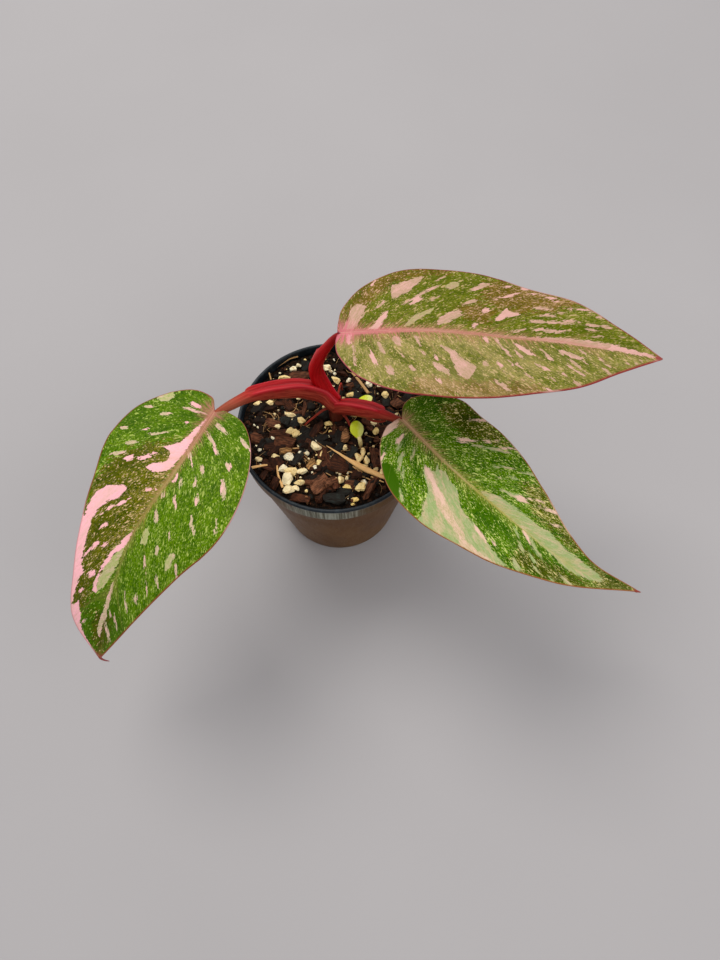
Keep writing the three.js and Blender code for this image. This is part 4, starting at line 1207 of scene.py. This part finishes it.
# ---- pot ----
def pot_profile():
    """Outside from the centre of the base up to the lip, then the inside down to the floor."""
    p = POT
    body_top = p["band_radius"] - p["step"]
    band_top = p["height"] - p["lip"]
    inner = p["band_radius"] - p["wall"]
    foot_edge = p["floor"] + p["edge"]

    def wall_at(z):
        return p["base"] + (body_top - p["base"]) * z / BAND_FOOT - p["wall"]

    edge = [(p["base"] + 0.1 - p["edge"] * (1 - np.sin(a)), p["edge"] * (1 - np.cos(a)))
            for a in np.linspace(0, 1.4, 7)]
    middle = (p["rim"] - p["lip_round"], p["height"] - p["lip_round"])
    lip = [(middle[0] + p["lip_round"] * np.cos(a), middle[1] + p["lip_round"] * np.sin(a))
           for a in np.linspace(*p["lip_turn"], 14)]
    return [
        (0, p["base_rise"]),
        (p["base"] - p["base_ring"], p["base_rise"]),
        (p["base"] - 3.0, 0.0),
        *edge,
        (body_top - 0.15, BAND_FOOT - 0.7),
        (body_top, BAND_FOOT - 0.35),
        (p["band_radius"] - 0.3, BAND_FOOT),
        (p["band_radius"] - 0.08, BAND_FOOT + 0.12),
        (p["band_radius"], BAND_FOOT + 0.5),
        (p["band_radius"], band_top - 0.1),
        *lip,
        (inner, band_top - 0.6),
        (inner - 0.1, BAND_FOOT),
        (wall_at(BAND_FOOT), BAND_FOOT - p["wall"]),
        (wall_at(foot_edge), foot_edge),
        (wall_at(p["floor"]) - p["edge"], p["floor"]),
        (0, p["floor"]),
    ]


def refined(profile, longest=3.0):
    """The profile with its long straight runs split, so that shading stays smooth."""
    made = [profile[0]]
    for a, b in zip(profile, profile[1:]):
        pieces = max(1, int(np.ceil(np.hypot(b[0] - a[0], b[1] - a[1]) / longest)))
        for k in range(1, pieces + 1):
            made.append((a[0] + (b[0] - a[0]) * k / pieces, a[1] + (b[1] - a[1]) * k / pieces))
    return made


def make_pot(materials):
    """The thin shell, turned round its axis and a little out of round towards the lip."""
    profile = np.array(refined(pot_profile()))
    angle = np.linspace(0, 2 * np.pi, POT["sides"], endpoint=False)
    rings = profile[1:-1]
    points = np.stack([rings[:, :1] * np.cos(angle), rings[:, :1] * np.sin(angle),
                       np.broadcast_to(rings[:, 1:], (len(rings), len(angle)))], axis=-1)
    out_of_round = 0.12 * np.sin(2 * angle + 0.6) + 0.05 * np.sin(5 * angle)
    lean = np.clip(points[..., 2:] / POT["height"], 0, 1) * out_of_round[None, :, None]
    points[..., :2] *= 1 - (lean + 0.17) / POT["rim"] * (points[..., 2:] > 50)
    centres = np.array([[0, 0, profile[0, 1]], [0, 0, profile[-1, 1]]])
    flat = np.vstack([points.reshape(-1, 3), centres])
    faces = [face[::-1] for face in tube_faces(points)]
    heights = rings[:, 1]
    over = np.minimum(heights[:-1], heights[1:]) > POT["height"] - POT["lip"] - 0.3
    inside = np.arange(len(rings) - 1) >= np.argmax(heights)
    sides = len(angle)
    slots = np.concatenate([np.repeat(over | inside, sides), np.zeros(sides), np.ones(sides)])
    piece = make_piece("nursery_pot", flat, faces, materials, ["pot"], face_slots=slots)
    cut_drains(piece)
    return piece


def cut_drains(piece):
    """Cuts the round drain holes through the pot's floor."""
    cutters = bmesh.new()
    radius, ring, floor = DRAIN["radius"] * MM, DRAIN["ring"] * MM, POT["floor"] * MM
    for k in range(DRAIN["count"]):
        turn = 2 * np.pi * k / DRAIN["count"]
        middle = Matrix.Translation((ring * np.cos(turn), ring * np.sin(turn), floor / 2))
        bmesh.ops.create_cone(cutters, cap_ends=True, segments=DRAIN["sides"], radius1=radius, radius2=radius,
                              depth=4 * floor, matrix=middle)
    mesh = bpy.data.meshes.new("drain_cutters")
    cutters.to_mesh(mesh)
    cutters.free()
    cutter = bpy.data.objects.new("drain_cutters", mesh)
    bpy.context.scene.collection.objects.link(cutter)
    cut = piece.modifiers.new("drains", "BOOLEAN")
    cut.object = cutter
    cut.operation = "DIFFERENCE"
    cut.solver = "EXACT"
    bpy.context.view_layer.update()
    graph = bpy.context.evaluated_depsgraph_get()
    piece.data = bpy.data.meshes.new_from_object(piece.evaluated_get(graph))
    piece.modifiers.clear()
    bpy.data.objects.remove(cutter)


# ---- potting mix ----
# radius is within the band and body_radius just under it. bottom lists the last rings as (radius,
# height). rough and grit are layers of (height, size, seed).
SOIL = {
    "level": 68.2,
    "crown": 0.9,
    "radius": 35.2,
    "body_radius": 34.2,
    "bottom": [(24.4, 3.4), (22.6, 1.6)],
    "rough": [(0.6, 7, 1), (0.5, 2.4, 2)],
    "grit": [(0.28, 0.9, 3), (0.14, 0.45, 4)],
    "rings": 130,
    "sides": 440,
    "seed": 20,
}
# Grains of perlite that show: x, y, half length, half width, turn in degrees, whiteness.
PERLITE = [
    (-21.7, -1.1, 1.5, 1, 0, 0.5), (-16.8, -3, 1.8, 1.4, 20, 0.3), (-14.4, -3.9, 1.9, 1.4, -20, 0.3),
    (-12.4, -4.7, 1.1, 0.8, 0, 0.4), (-23.5, -5.3, 1, 0.8, -40, 0.9), (-28.5, -14.3, 1.2, 1, 0, 0.5),
    (-22.3, -14.2, 1.4, 1.6, 10, 0.4), (-16.7, -14.5, 1.8, 1.7, 0, 0.9), (-22.2, -16.6, 0.9, 0.7, 0, 0.8),
    (-6.2, -10.3, 1.6, 2, 10, 0.6), (-12.3, -12.3, 1, 0.9, 0, 0.9), (-10.2, -12.3, 1.1, 1.6, 10, 0.8),
    (-12.8, -9, 0.7, 0.9, 20, 0.5), (-9, -9, 0.6, 0.9, 0, 0.4), (-4.4, -13.4, 1, 1.7, -10, 0.3),
    (-5.2, -16.4, 1, 1.8, -12, 0.3), (-18.8, -19, 1.6, 1.4, 30, 0.8), (-15.2, -19.8, 2.2, 1.9, -10, 0.35),
    (-11.6, -19.9, 1.8, 1.2, 5, 0.6), (-16.8, -23.8, 2.1, 2.3, 20, 0.7), (-12.2, -24.7, 1.9, 1.2, 10, 0.4),
    (-16.2, -27.8, 2.2, 1.5, 20, 0.6), (-13.6, -27.1, 1.2, 0.9, 0, 0.6), (-6.5, -19.2, 0.9, 1, 0, 1),
    (-4.2, -31.2, 0.8, 0.9, 0, 1), (-9.6, -28.2, 0.6, 0.6, 0, 0.3), (3, -24, 1.3, 1.6, 15, 0.4),
    (5.2, -22.8, 0.7, 0.8, 0, 0.5), (5.3, -20.8, 0.9, 0.5, 0, 0.6), (5.5, -26.4, 1.6, 1.2, 15, 0.15),
    (10.2, -26.6, 1.8, 2, 10, 0.3), (11.8, -24.8, 1.4, 1.1, 10, 1), (8.8, -31.8, 1, 0.9, 0, 0.1),
    (7.5, -33.4, 0.8, 0.5, 0, 0.1), (7.4, -31, 0.7, 0.5, 0, 0.2), (11.3, -12, 1.1, 2.1, -15, 0.35),
    (9.8, -15, 1.6, 1.7, 0, 0.35), (12.9, -15.8, 1.2, 2, 5, 0.35), (11.2, -17.9, 2, 1, 0, 0.35),
    (9.2, -18.3, 1.3, 0.9, 20, 0.4), (16, -19, 1, 0.9, 0, 0.4), (16.5, -3.2, 1.1, 1.5, 10, 0.2),
    (15.3, 0.6, 1.6, 1.2, -10, 0.5), (4.7, -10.2, 0.9, 1.2, 0, 0.4), (8.4, -8.7, 0.5, 0.8, 0, 0.4),
    (-28, -10.6, 0.8, 0.7, 0, 1), (-18.5, 0.9, 0.7, 0.6, 0, 0.5), (-30.5, 0.2, 0.6, 0.6, 0, 0.9),
    (-16.7, 26.1, 1.8, 1.5, 20, 0.8), (-14.6, 27.2, 1.1, 0.9, 0, 0.7), (-3.3, 26.3, 1.8, 1.7, -30, 0.7),
    (-1.5, 24.6, 0.9, 0.7, 0, 0.8), (0.1, 23.3, 0.7, 0.7, 0, 1), (0.8, 19.9, 2.1, 1.3, -50, 0.3),
    (5.8, 20.2, 1, 1.2, 0, 0.9), (7.2, 13.2, 1.8, 1.2, 10, 0.2), (9.3, 14.2, 0.8, 0.7, 0, 0.9),
    (13.7, 17.8, 1.4, 1.5, 0, 0.9), (17.6, 16.5, 0.8, 1, 0, 0.7), (20.3, 13.7, 1.2, 1.8, 15, 0.3),
    (24.3, 4.3, 0.8, 0.8, 0, 0.5), (-22, 24.4, 0.6, 0.6, 0, 0.7), (-11.8, 30.2, 0.7, 0.8, 0, 0.2),
    (-30, 9.7, 1.6, 1.2, 10, 0.4), (-25.4, 10.3, 1.6, 1.2, 15, 0.4), (-13.6, 11.8, 1.1, 0.6, 0, 0.5),
    (-17.3, 4.5, 1.9, 1.1, -20, 0.5), (-12.5, 2, 1.7, 1.4, 10, 0.3), (-23, 4.8, 0.5, 0.5, 0, 0.5),
    (-2, 0.5, 1.3, 1, 0, 0.2), (-3.8, 7.7, 0.8, 0.7, 0, 0.3), (-20.5, 21.8, 2.3, 0.9, 0, 0.3),
    (8.5, 3.8, 1.8, 1, 0, 0.3), (-1.2, -3, 0.8, 0.8, 0, 0.1), (19, -20.5, 1.6, 1.4, 0, 0.35),
    (-13.3, -7.6, 0.5, 0.6, 0, 0.7), (-10.7, -7.6, 0.5, 0.5, 0, 0.6), (-9.3, -15, 0.5, 0.5, 0, 0.6),
    (-7.4, -20.2, 0.8, 0.5, 30, 0.8), (-8, -18.2, 0.5, 0.5, 0, 0.9), (16.2, -18.4, 0.8, 0.6, 20, 0.2),
    (5.5, -20.6, 0.8, 0.6, 0, 0.9), (2.6, -21.4, 0.5, 0.5, 0, 0.7), (13.6, -12.8, 0.6, 0.5, 0, 0.3),
]
# Pieces of bark that show: x, y, half length, half width, turn in degrees, tone from charred to tan.
BARK = [
    (-29.5, -5, 3.1, 2.6, -10, 0.5), (-20.4, -4.2, 3.6, 2.2, -10, 0.42), (-17.6, -8, 4.5, 2.2, -12, 0.5),
    (-5, -25, 3.4, 4, 32, 0.62), (0.5, -31.2, 3.8, 2.3, 5, 0.02), (2, -17, 3.9, 3.3, -20, 0.36),
    (4.5, -5.8, 1.7, 3.3, 15, 0.8), (14.2, -26.8, 5, 1.7, 64, 0.5), (15.4, -14.6, 3.9, 1.5, 100, 0.5),
    (-13.4, 22.4, 4.4, 2.2, 10, 0.5), (24.5, 9.5, 2.9, 2.6, 45, 0.55), (3, 23.6, 2.1, 1.5, 0, 0.35),
    (6, 17.6, 2.6, 1.3, -5, 0.5), (-12, -30.8, 3.6, 1.6, -14, 0.42), (16.6, -6.5, 1.3, 1.3, 0, 0.55),
    (-11.6, 7, 3.2, 0.9, 80, 0.5), (-9.5, -31.6, 1.6, 0.7, 100, 0.8), (-17.6, -11.2, 2.5, 1.5, 12, 0.95),
    (-8.1, -17.2, 1.9, 1.3, 40, 1.0), (-22, -26, 4, 1.4, 55, 0.35), (-26, -21, 3.4, 1.3, 70, 0.35),
    (8.2, -21.6, 3, 1.6, -10, 0.3), (-6.4, -2.4, 3.6, 1.5, 70, 0.32), (22, -9, 3, 2, 30, 0.45),
]
# Straw and sticks: the points they pass through (x, y), radii spread evenly along them, tone.
STRAWS = [
    ([(-2.5, -10), (4, -14.6), (11, -19.2), (19.4, -23.4)], (0.12, 0.55, 1.2, 0.7), 0.88),
    ([(2, -12.6), (7.4, -15.8), (13, -18.8), (20, -22.4)], (0.1, 0.3, 0.4, 0.3), 1.0),
    ([(5, -16.4), (10.4, -20.2), (19, -24.8)], (0.1, 0.4, 0.25), 0.9),
    ([(5.6, -20.4), (11, -22.2), (17.4, -25)], (0.15, 0.3), 0.75),
    ([(-32, -18.4), (-28, -17.8), (-24.6, -17.2)], (0.7, 0.35), 0.95),
    ([(-21, -17), (-20.4, -21.4), (-18.4, -27)], (0.3, 0.5), 0.95),
    ([(-26.6, -10.3), (-22, -11), (-19, -10.8)], (0.4, 0.3), 0.7),
    ([(-15.4, -10.4), (-11.6, -10.3)], (0.3, 0.2), 0.7),
    ([(7.2, 23.4), (10.4, 18.6), (13.6, 13.4)], (0.55, 0.65), 0.55),
    ([(-3.4, -16.6), (-3.4, -20), (-0.6, -22.2)], (0.2, 0.2), 0.4),
    ([(-26.2, 24), (-25, 20)], (0.3, 0.3), 0.6),
    ([(-24, 27), (-19, 30.4), (-15, 32)], (0.5, 0.35), 0.5),
    ([(-20, 21.5), (-22, 16), (-21, 12)], (0.3, 0.25), 0.4),
]
# A lift is how far a piece's middle lies above the mix, as a share of its half thickness. gap is the room
# that loose bark keeps from the listed pieces. BARK_TILT spreads the chips' tilts, in degrees.
BARK_TILT = 20
STRAW_FLATNESS = 0.6
BARK_LIFT, PERLITE_LIFT = 0.55, 0.8
LOOSE_BARK = {"count": 200, "seed": 50, "gap": 0.2, "lift": 0.1, "palest": 0.75,
              "length": (1.4, 4.2), "width": (0.8, 2.4), "reach": 33.5}
LOOSE_PERLITE = {"count": 150, "seed": 200, "lift": 0.6, "size": (0.3, 0.75), "reach": 33.5}
CRUMBS = {"count": 1300, "size": (0.35, 1.1), "reach": 34.4}
FIBRES = {
    "count": 170,
    "length": (4, 13),
    "reach": 32,
    "bend": 0.7,
    "radius": (0.07, 0.2),
    "tone": (0.1, 0.65),
    "lift": (0, 0.9),
}


def soil_height(x, y):
    """The top of the fine mix, without chips and grains."""
    place = np.stack(np.broadcast_arrays(x, y, 0.0), axis=-1)
    share = np.hypot(x, y) / SOIL["radius"]
    return SOIL["level"] + SOIL["crown"] * (1 - share**2) + bumps(place, SOIL["rough"])


def sphere(subdivisions):
    """Points and faces of a round ball of radius 1, split evenly."""
    ball = bmesh.new()
    bmesh.ops.create_icosphere(ball, subdivisions=subdivisions, radius=1)
    points = np.array([v.co[:] for v in ball.verts])
    faces = [[v.index for v in f.verts] for f in ball.faces]
    ball.free()
    return points, faces


def within_pot(points):
    """Draws in what would pass through the pot's wall."""
    distance = np.hypot(points[:, 0], points[:, 1])
    drawn = np.minimum(1, SOIL["radius"] / np.maximum(distance, 1e-6))
    return points * np.column_stack([drawn, drawn, np.ones(len(points))])


def turned(points, turn, tilt=0.0, tip=0.0):
    """Points turned about Z by turn, after leaning about X by tilt and about Y by tip, in degrees."""
    made = points
    for angle, (a, b) in ((tilt, (1, 2)), (tip, (2, 0)), (turn, (0, 1))):
        c, s = np.cos(np.radians(angle)), np.sin(np.radians(angle))
        rotated = made.copy()
        rotated[:, a] = c * made[:, a] - s * made[:, b]
        rotated[:, b] = s * made[:, a] + c * made[:, b]
        made = rotated
    return made


def broken(points, cuts, depth, seed):
    """Points with flat breaks: what lies past each of a few random planes is pressed onto it."""
    random = np.random.default_rng(seed)
    made = points.copy()
    for direction in unit(random.standard_normal((cuts, 3))):
        height = made @ direction
        beyond = np.maximum(height - depth * height.max(), 0)
        made -= beyond[:, None] * direction
    return made


def chip_shape(ball, half, seed):
    """An angular piece of bark: a ball squared off, broken flat, split along the grain and worn."""
    shaped = broken(np.sign(ball) * np.abs(ball) ** 0.4, 8, 0.64, seed) * 1.12
    shaped = shaped * (1 + 0.07 * lumps(ball + seed * 3.1, 0.7, seed)[:, None])
    points = shaped * half
    ridges = lumps(points * [0.35, 2.2, 1.6] + seed * 5.3, 1.0, seed + 1)
    shift = 0.16 * ridges + 0.1 * lumps(points + seed * 2.7, 0.9, seed + 2)
    return points + unit(ball) * shift[:, None] * min(1.0, half[2])


def grain_shape(ball, half, seed):
    """A puffed and broken grain of perlite."""
    bulges = 0.3 * lumps(ball * half + seed * 1.7, 1.1, seed)
    bulges += 0.12 * lumps(ball * half + seed, 0.4, seed + 1)
    return broken(ball * (1 + bulges[:, None]), 13, 0.68, seed) * half * 1.2


# Where the listed chips and grains lie, with their longer half.
TAKEN = [(x, y, max(a, b)) for x, y, a, b, *_ in (*PERLITE, *BARK)]


def anywhere(random, reach, inset=0.0):
    """A random place on the round top, evenly spread within reach and then drawn in by inset."""
    turn, distance = 2 * np.pi * random.random(), reach * np.sqrt(random.random()) - inset
    return distance * np.cos(turn), distance * np.sin(turn)


def free_place(random, reach, room):
    """A random place that clears the listed chips and grains, or the last of 40 tries."""
    for _ in range(40):
        x, y = anywhere(random, reach)
        if all(np.hypot(x - a, y - b) > 0.75 * r + room for a, b, r in TAKEN):
            break
    return x, y


def make_fine_mix(material):
    """The fine mix fills the pot: its rough top, then the sides and the bottom just inside the wall."""
    radii = np.linspace(0, 1, SOIL["rings"])[1:] * SOIL["radius"]
    angle = np.linspace(0, 2 * np.pi, SOIL["sides"], endpoint=False)
    x, y = radii[:, None] * np.cos(angle), radii[:, None] * np.sin(angle)
    place = np.stack([x, y, 0 * x], axis=-1)
    z = bumps(place, SOIL["grit"], soil_height(x, y))
    top = np.stack([x, y, z], axis=-1)
    down = [(SOIL["radius"] - 0.1, BAND_FOOT), (SOIL["body_radius"], BAND_FOOT - 1.4), *SOIL["bottom"]]
    around = np.stack([np.cos(angle), np.sin(angle), 0 * angle], axis=-1)
    walls = [radius * around + [0, 0, height] for radius, height in down]
    rings = np.concatenate([top, np.array(walls)])
    ends = np.array([[0, 0, soil_height(0.0, 0.0)], [0, 0, down[-1][1]]])
    flat = np.vstack([rings.reshape(-1, 3), ends])
    faces = [face[::-1] for face in tube_faces(rings)]
    return make_piece("potting_mix", flat, faces, [material], ["soil"], {"place": flat})


def make_bark(material, random, balls):
    """Chips of bark: the listed ones, then the loose ones."""
    bark = Parts()

    def add(x, y, half, turn, shade, seed, ball, lift):
        points = chip_shape(ball[0], half, seed)
        tilt, tip = BARK_TILT * random.standard_normal(2) * min(1.0, 2.0 / half[0])
        settled = turned(points, turn, tilt, tip) + [x, y, soil_height(x, y) + half[2] * lift]
        bark.add(within_pot(settled), ball[1], tone=shade, grain=points + seed)

    for k, (x, y, a, b, turn, shade) in enumerate(BARK):
        add(x, y, np.array([a, b, 0.8 + 0.14 * min(a, b)]), turn, shade, k + 1, balls[4], BARK_LIFT)
    for k in range(LOOSE_BARK["count"]):
        a, b = random.uniform(*LOOSE_BARK["length"]), random.uniform(*LOOSE_BARK["width"])
        x, y = free_place(random, LOOSE_BARK["reach"] - a, LOOSE_BARK["gap"])
        half = np.array([a, b, 0.5 + 0.25 * b])
        turn, shade = 360 * random.random(), random.beta(1.2, 3) * LOOSE_BARK["palest"]
        add(x, y, half, turn, shade, k + LOOSE_BARK["seed"], balls[3], LOOSE_BARK["lift"])
    bark.make("bark_chips", material, smooth=False)


def make_perlite(material, random, balls):
    """Grains of perlite: the listed ones, then the loose ones."""
    perlite = Parts()

    def add(x, y, half, turn, white, seed, ball, lift):
        points = grain_shape(ball[0], half, seed)
        settled = turned(points, turn) + [x, y, soil_height(x, y) + half[2] * lift]
        perlite.add(within_pot(settled), ball[1], tone=white, grain=points + seed)

    for k, (x, y, a, b, turn, white) in enumerate(PERLITE):
        add(x, y, np.array([a, b, 0.75 * min(a, b) + 0.15]), turn, white, k + 1, balls[4], PERLITE_LIFT)
    for k in range(LOOSE_PERLITE["count"]):
        size = random.uniform(*LOOSE_PERLITE["size"])
        x, y = free_place(random, LOOSE_PERLITE["reach"], size)
        half, turn, white = size * random.uniform(0.7, 1.2, 3), 360 * random.random(), random.uniform(0.2, 1)
        add(x, y, half, turn, white, k + LOOSE_PERLITE["seed"], balls[2], LOOSE_PERLITE["lift"])
    perlite.make("perlite_grains", material, smooth=False)


def make_crumbs(material, random, ball):
    """Small dark crumbs all over the top."""
    crumbs = Parts()
    smallest, largest = CRUMBS["size"]
    for k in range(CRUMBS["count"]):
        size = smallest + (largest - smallest) * random.random() ** 2
        x, y = anywhere(random, CRUMBS["reach"], size / 2)
        half = size * random.uniform(0.6, 1.1, 3)
        points = ball[0] * half * (1 + 0.3 * lumps(ball[0] * size + k, 0.8, k)[:, None])
        shade = 0.08 + 0.42 * random.random() ** 2
        settled = turned(points, 360 * random.random()) + [x, y, soil_height(x, y) + 0.3 * size]
        crumbs.add(settled, ball[1], tone=shade, grain=points + k)
    crumbs.make("mix_crumbs", material)


def make_straws(material, random):
    """The listed straw and sticks, then thin loose fibres. Each lies along the top of the mix."""
    straws = Parts()

    def add(places, ends, shade, lift, flatness, sides=8):
        steps = 6 * len(places)
        x, y = spline(places, np.linspace(0, 1, steps)).T
        z = soil_height(x, y)
        z = np.maximum(z, np.convolve(np.pad(z, 3, "edge"), np.ones(7) / 7, "valid")) + lift
        radii = np.interp(np.linspace(0, 1, 7), np.linspace(0, 1, len(ends)), ends)
        rings, skin, _, _ = tube(np.column_stack([x, y, z]), radii, sides, steps, (0, 0, 1))
        centre = rings.mean(axis=1, keepdims=True)
        points, skin = closed_tube(centre + (rings - centre) * [1, 1, flatness], skin)
        straws.add(points, tube_faces(rings), tone=shade, grain=skin[:, [1, 0, 2]])

    for places, ends, shade in STRAWS:
        add(places, ends, shade, 1.1 * max(ends) + 0.5, STRAW_FLATNESS)
    for _ in range(FIBRES["count"]):
        length = random.uniform(*FIBRES["length"])
        here = np.array(anywhere(random, FIBRES["reach"] - length / 2))
        direction = 2 * np.pi * random.random()
        bend = random.normal(0, FIBRES["bend"])
        places = []
        for _ in range(4):
            places.append(tuple(here))
            here = here + length / 3 * np.array([np.cos(direction), np.sin(direction)])
            here = here * min(1.0, SOIL["body_radius"] / max(np.hypot(*here), 1e-6))
            direction += bend
        radius = random.uniform(*FIBRES["radius"])
        shade, lift = random.uniform(*FIBRES["tone"]), random.uniform(*FIBRES["lift"])
        add(places, (radius, radius * 0.6), shade, lift, 1.0, 5)
    straws.make("straw_and_fibres", material)


def make_mix():
    """The fine mix and everything that lies in it, drawn from one seeded stream in this order."""
    random = np.random.default_rng(SOIL["seed"])
    balls = {k: sphere(k) for k in (1, 2, 3, 4)}
    bark_skin = bark_material()
    make_fine_mix(soil_material())
    make_bark(bark_skin, random, balls)
    make_perlite(perlite_material(), random, balls)
    make_crumbs(bark_skin, random, balls[1])
    make_straws(straw_material(), random)


# ---- sprouts ----
SPROUTS = {
    "sprout_front": {
        "pad": (9.1, -4.5, 73), "size": (2.6, 3.6, 0.6), "turn": 14, "tilt": 24,
        "stalk": [(9.7, -6.8, 72), (10.3, -8.3, 70.8), (10.6, -9.2, 65)],
    },
    "sprout_back": {
        "pad": (12.4, 7.8, 74.2), "size": (3, 2.7, 0.6), "turn": 30, "tilt": -12,
        "stalk": [(12.6, 6.9, 74.4), (13, 5.9, 71), (13, 5.6, 65)],
    },
}
SPROUT_RADII = [0.68, 0.85, 0.85]


def make_sprout(name, spec, material):
    """A young leaf: an egg-shaped pad with a crease and a short pointed tip, on its stalk."""
    ball, faces = sphere(4)
    x, y, z = ball.T
    egg = 1 - 0.5 * smoothstep(-y, 0.0, 1.1)
    tip = 0.16 * smoothstep(y, 0.8, 1.0)
    crease = 0.28 * np.exp(-((x / 0.16) ** 2)) * (z > 0) - 0.25 * x * x
    shape = np.column_stack([x * egg * (1 - tip), y, z * (0.75 - 0.25 * np.abs(x)) - crease * 0.6])
    shape = shape * spec["size"]
    placed = turned(turned(shape, 0, spec["tilt"]), spec["turn"]) + spec["pad"]
    parts = Parts()
    parts.add(placed, faces, tone=0.2, grain=shape)
    rings, *_ = tube(spec["stalk"], SPROUT_RADII, *GRIDS["sprout"])
    (flat,) = closed_tube(rings)
    parts.add(flat, tube_faces(rings), tone=1.0, grain=flat)
    return parts.make(name + "_young_leaf", material, [name])


# ---- staging ----
def make_floor():
    mesh = bpy.data.meshes.new("floor")
    corners = [(x * FLOOR_HALF, y * FLOOR_HALF, 0) for x, y in ((-1, -1), (1, -1), (1, 1), (-1, 1))]
    mesh.from_pydata(corners, [], [(0, 1, 2, 3)])
    mesh.materials.append(floor_material())
    floor = bpy.data.objects.new("floor", mesh)
    bpy.context.scene.collection.objects.link(floor)


def set_up(name, data, right, upward, backward, place):
    """Stands a camera or a light at a place in metres, looking away from backward."""
    made = bpy.data.objects.new(name, data)
    matrix = np.eye(4)
    matrix[:3] = np.stack([right, upward, backward, place], axis=1)
    made.matrix_world = Matrix(matrix.tolist())
    bpy.context.scene.collection.objects.link(made)
    return made


def make_camera():
    pitch, yaw, roll = np.radians([CAMERA_PITCH, CAMERA_YAW, CAMERA_ROLL])
    forward = np.array([np.sin(yaw) * np.cos(pitch), np.cos(yaw) * np.cos(pitch), -np.sin(pitch)])
    level = np.array([np.cos(yaw), -np.sin(yaw), 0.0])
    above = np.cross(level, forward)
    right = np.cos(roll) * level + np.sin(roll) * above
    upward = -np.sin(roll) * level + np.cos(roll) * above
    data = bpy.data.cameras.new("camera")
    data.sensor_width = SENSOR
    data.lens = SENSOR * FOCAL_PIXELS / PHOTO_HEIGHT
    data.clip_start, data.clip_end = 0.01, 20
    place = np.array(CAMERA_PLACE) * MM
    bpy.context.scene.camera = set_up("camera", data, right, upward, -forward, place)


def make_lights():
    """Soft daylight from all round, and two round lamps aimed at the plant."""
    world = bpy.data.worlds.new("soft_daylight")
    world.use_nodes = True
    background = world.node_tree.nodes["Background"]
    background.inputs["Color"].default_value = SKY["colour"]
    background.inputs["Strength"].default_value = SKY["strength"]
    bpy.context.scene.world = world
    for name, spec in LIGHTS.items():
        data = bpy.data.lights.new(name, "AREA")
        data.shape = "DISK"
        data.size = LIGHT_SIZE
        data.energy = spec["power"]
        data.color = spec["colour"]
        backward = unit(np.array(spec["place"], float) - np.array(LIGHT_AIM, float))
        side = unit(np.cross([0.01, 1, 0], backward))
        set_up(name, data, side, np.cross(backward, side), backward, spec["place"])
    bpy.context.scene.view_settings.view_transform = "Standard"
    bpy.context.scene.view_settings.look = "None"


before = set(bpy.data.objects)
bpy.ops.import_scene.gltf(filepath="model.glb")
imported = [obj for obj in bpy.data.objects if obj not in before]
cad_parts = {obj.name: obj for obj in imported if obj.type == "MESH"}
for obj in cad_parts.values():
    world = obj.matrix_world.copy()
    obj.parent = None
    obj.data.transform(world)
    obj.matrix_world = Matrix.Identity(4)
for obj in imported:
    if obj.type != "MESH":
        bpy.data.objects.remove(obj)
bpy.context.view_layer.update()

make_camera()
make_lights()
make_floor()

red_skin = stalk_material()
for leaf_name, leaf_spec in LEAVES.items():
    make_leaf(leaf_name, leaf_spec)
for petiole_name, petiole_spec in PETIOLES.items():
    make_petiole(petiole_name, petiole_spec, red_skin)
make_stem(red_skin)
make_pot([pot_material(), lip_material()])
make_mix()
lime_skin = sprout_material()
for sprout_name, sprout_spec in SPROUTS.items():
    make_sprout(sprout_name, sprout_spec, lime_skin)

bpy.context.view_layer.update()
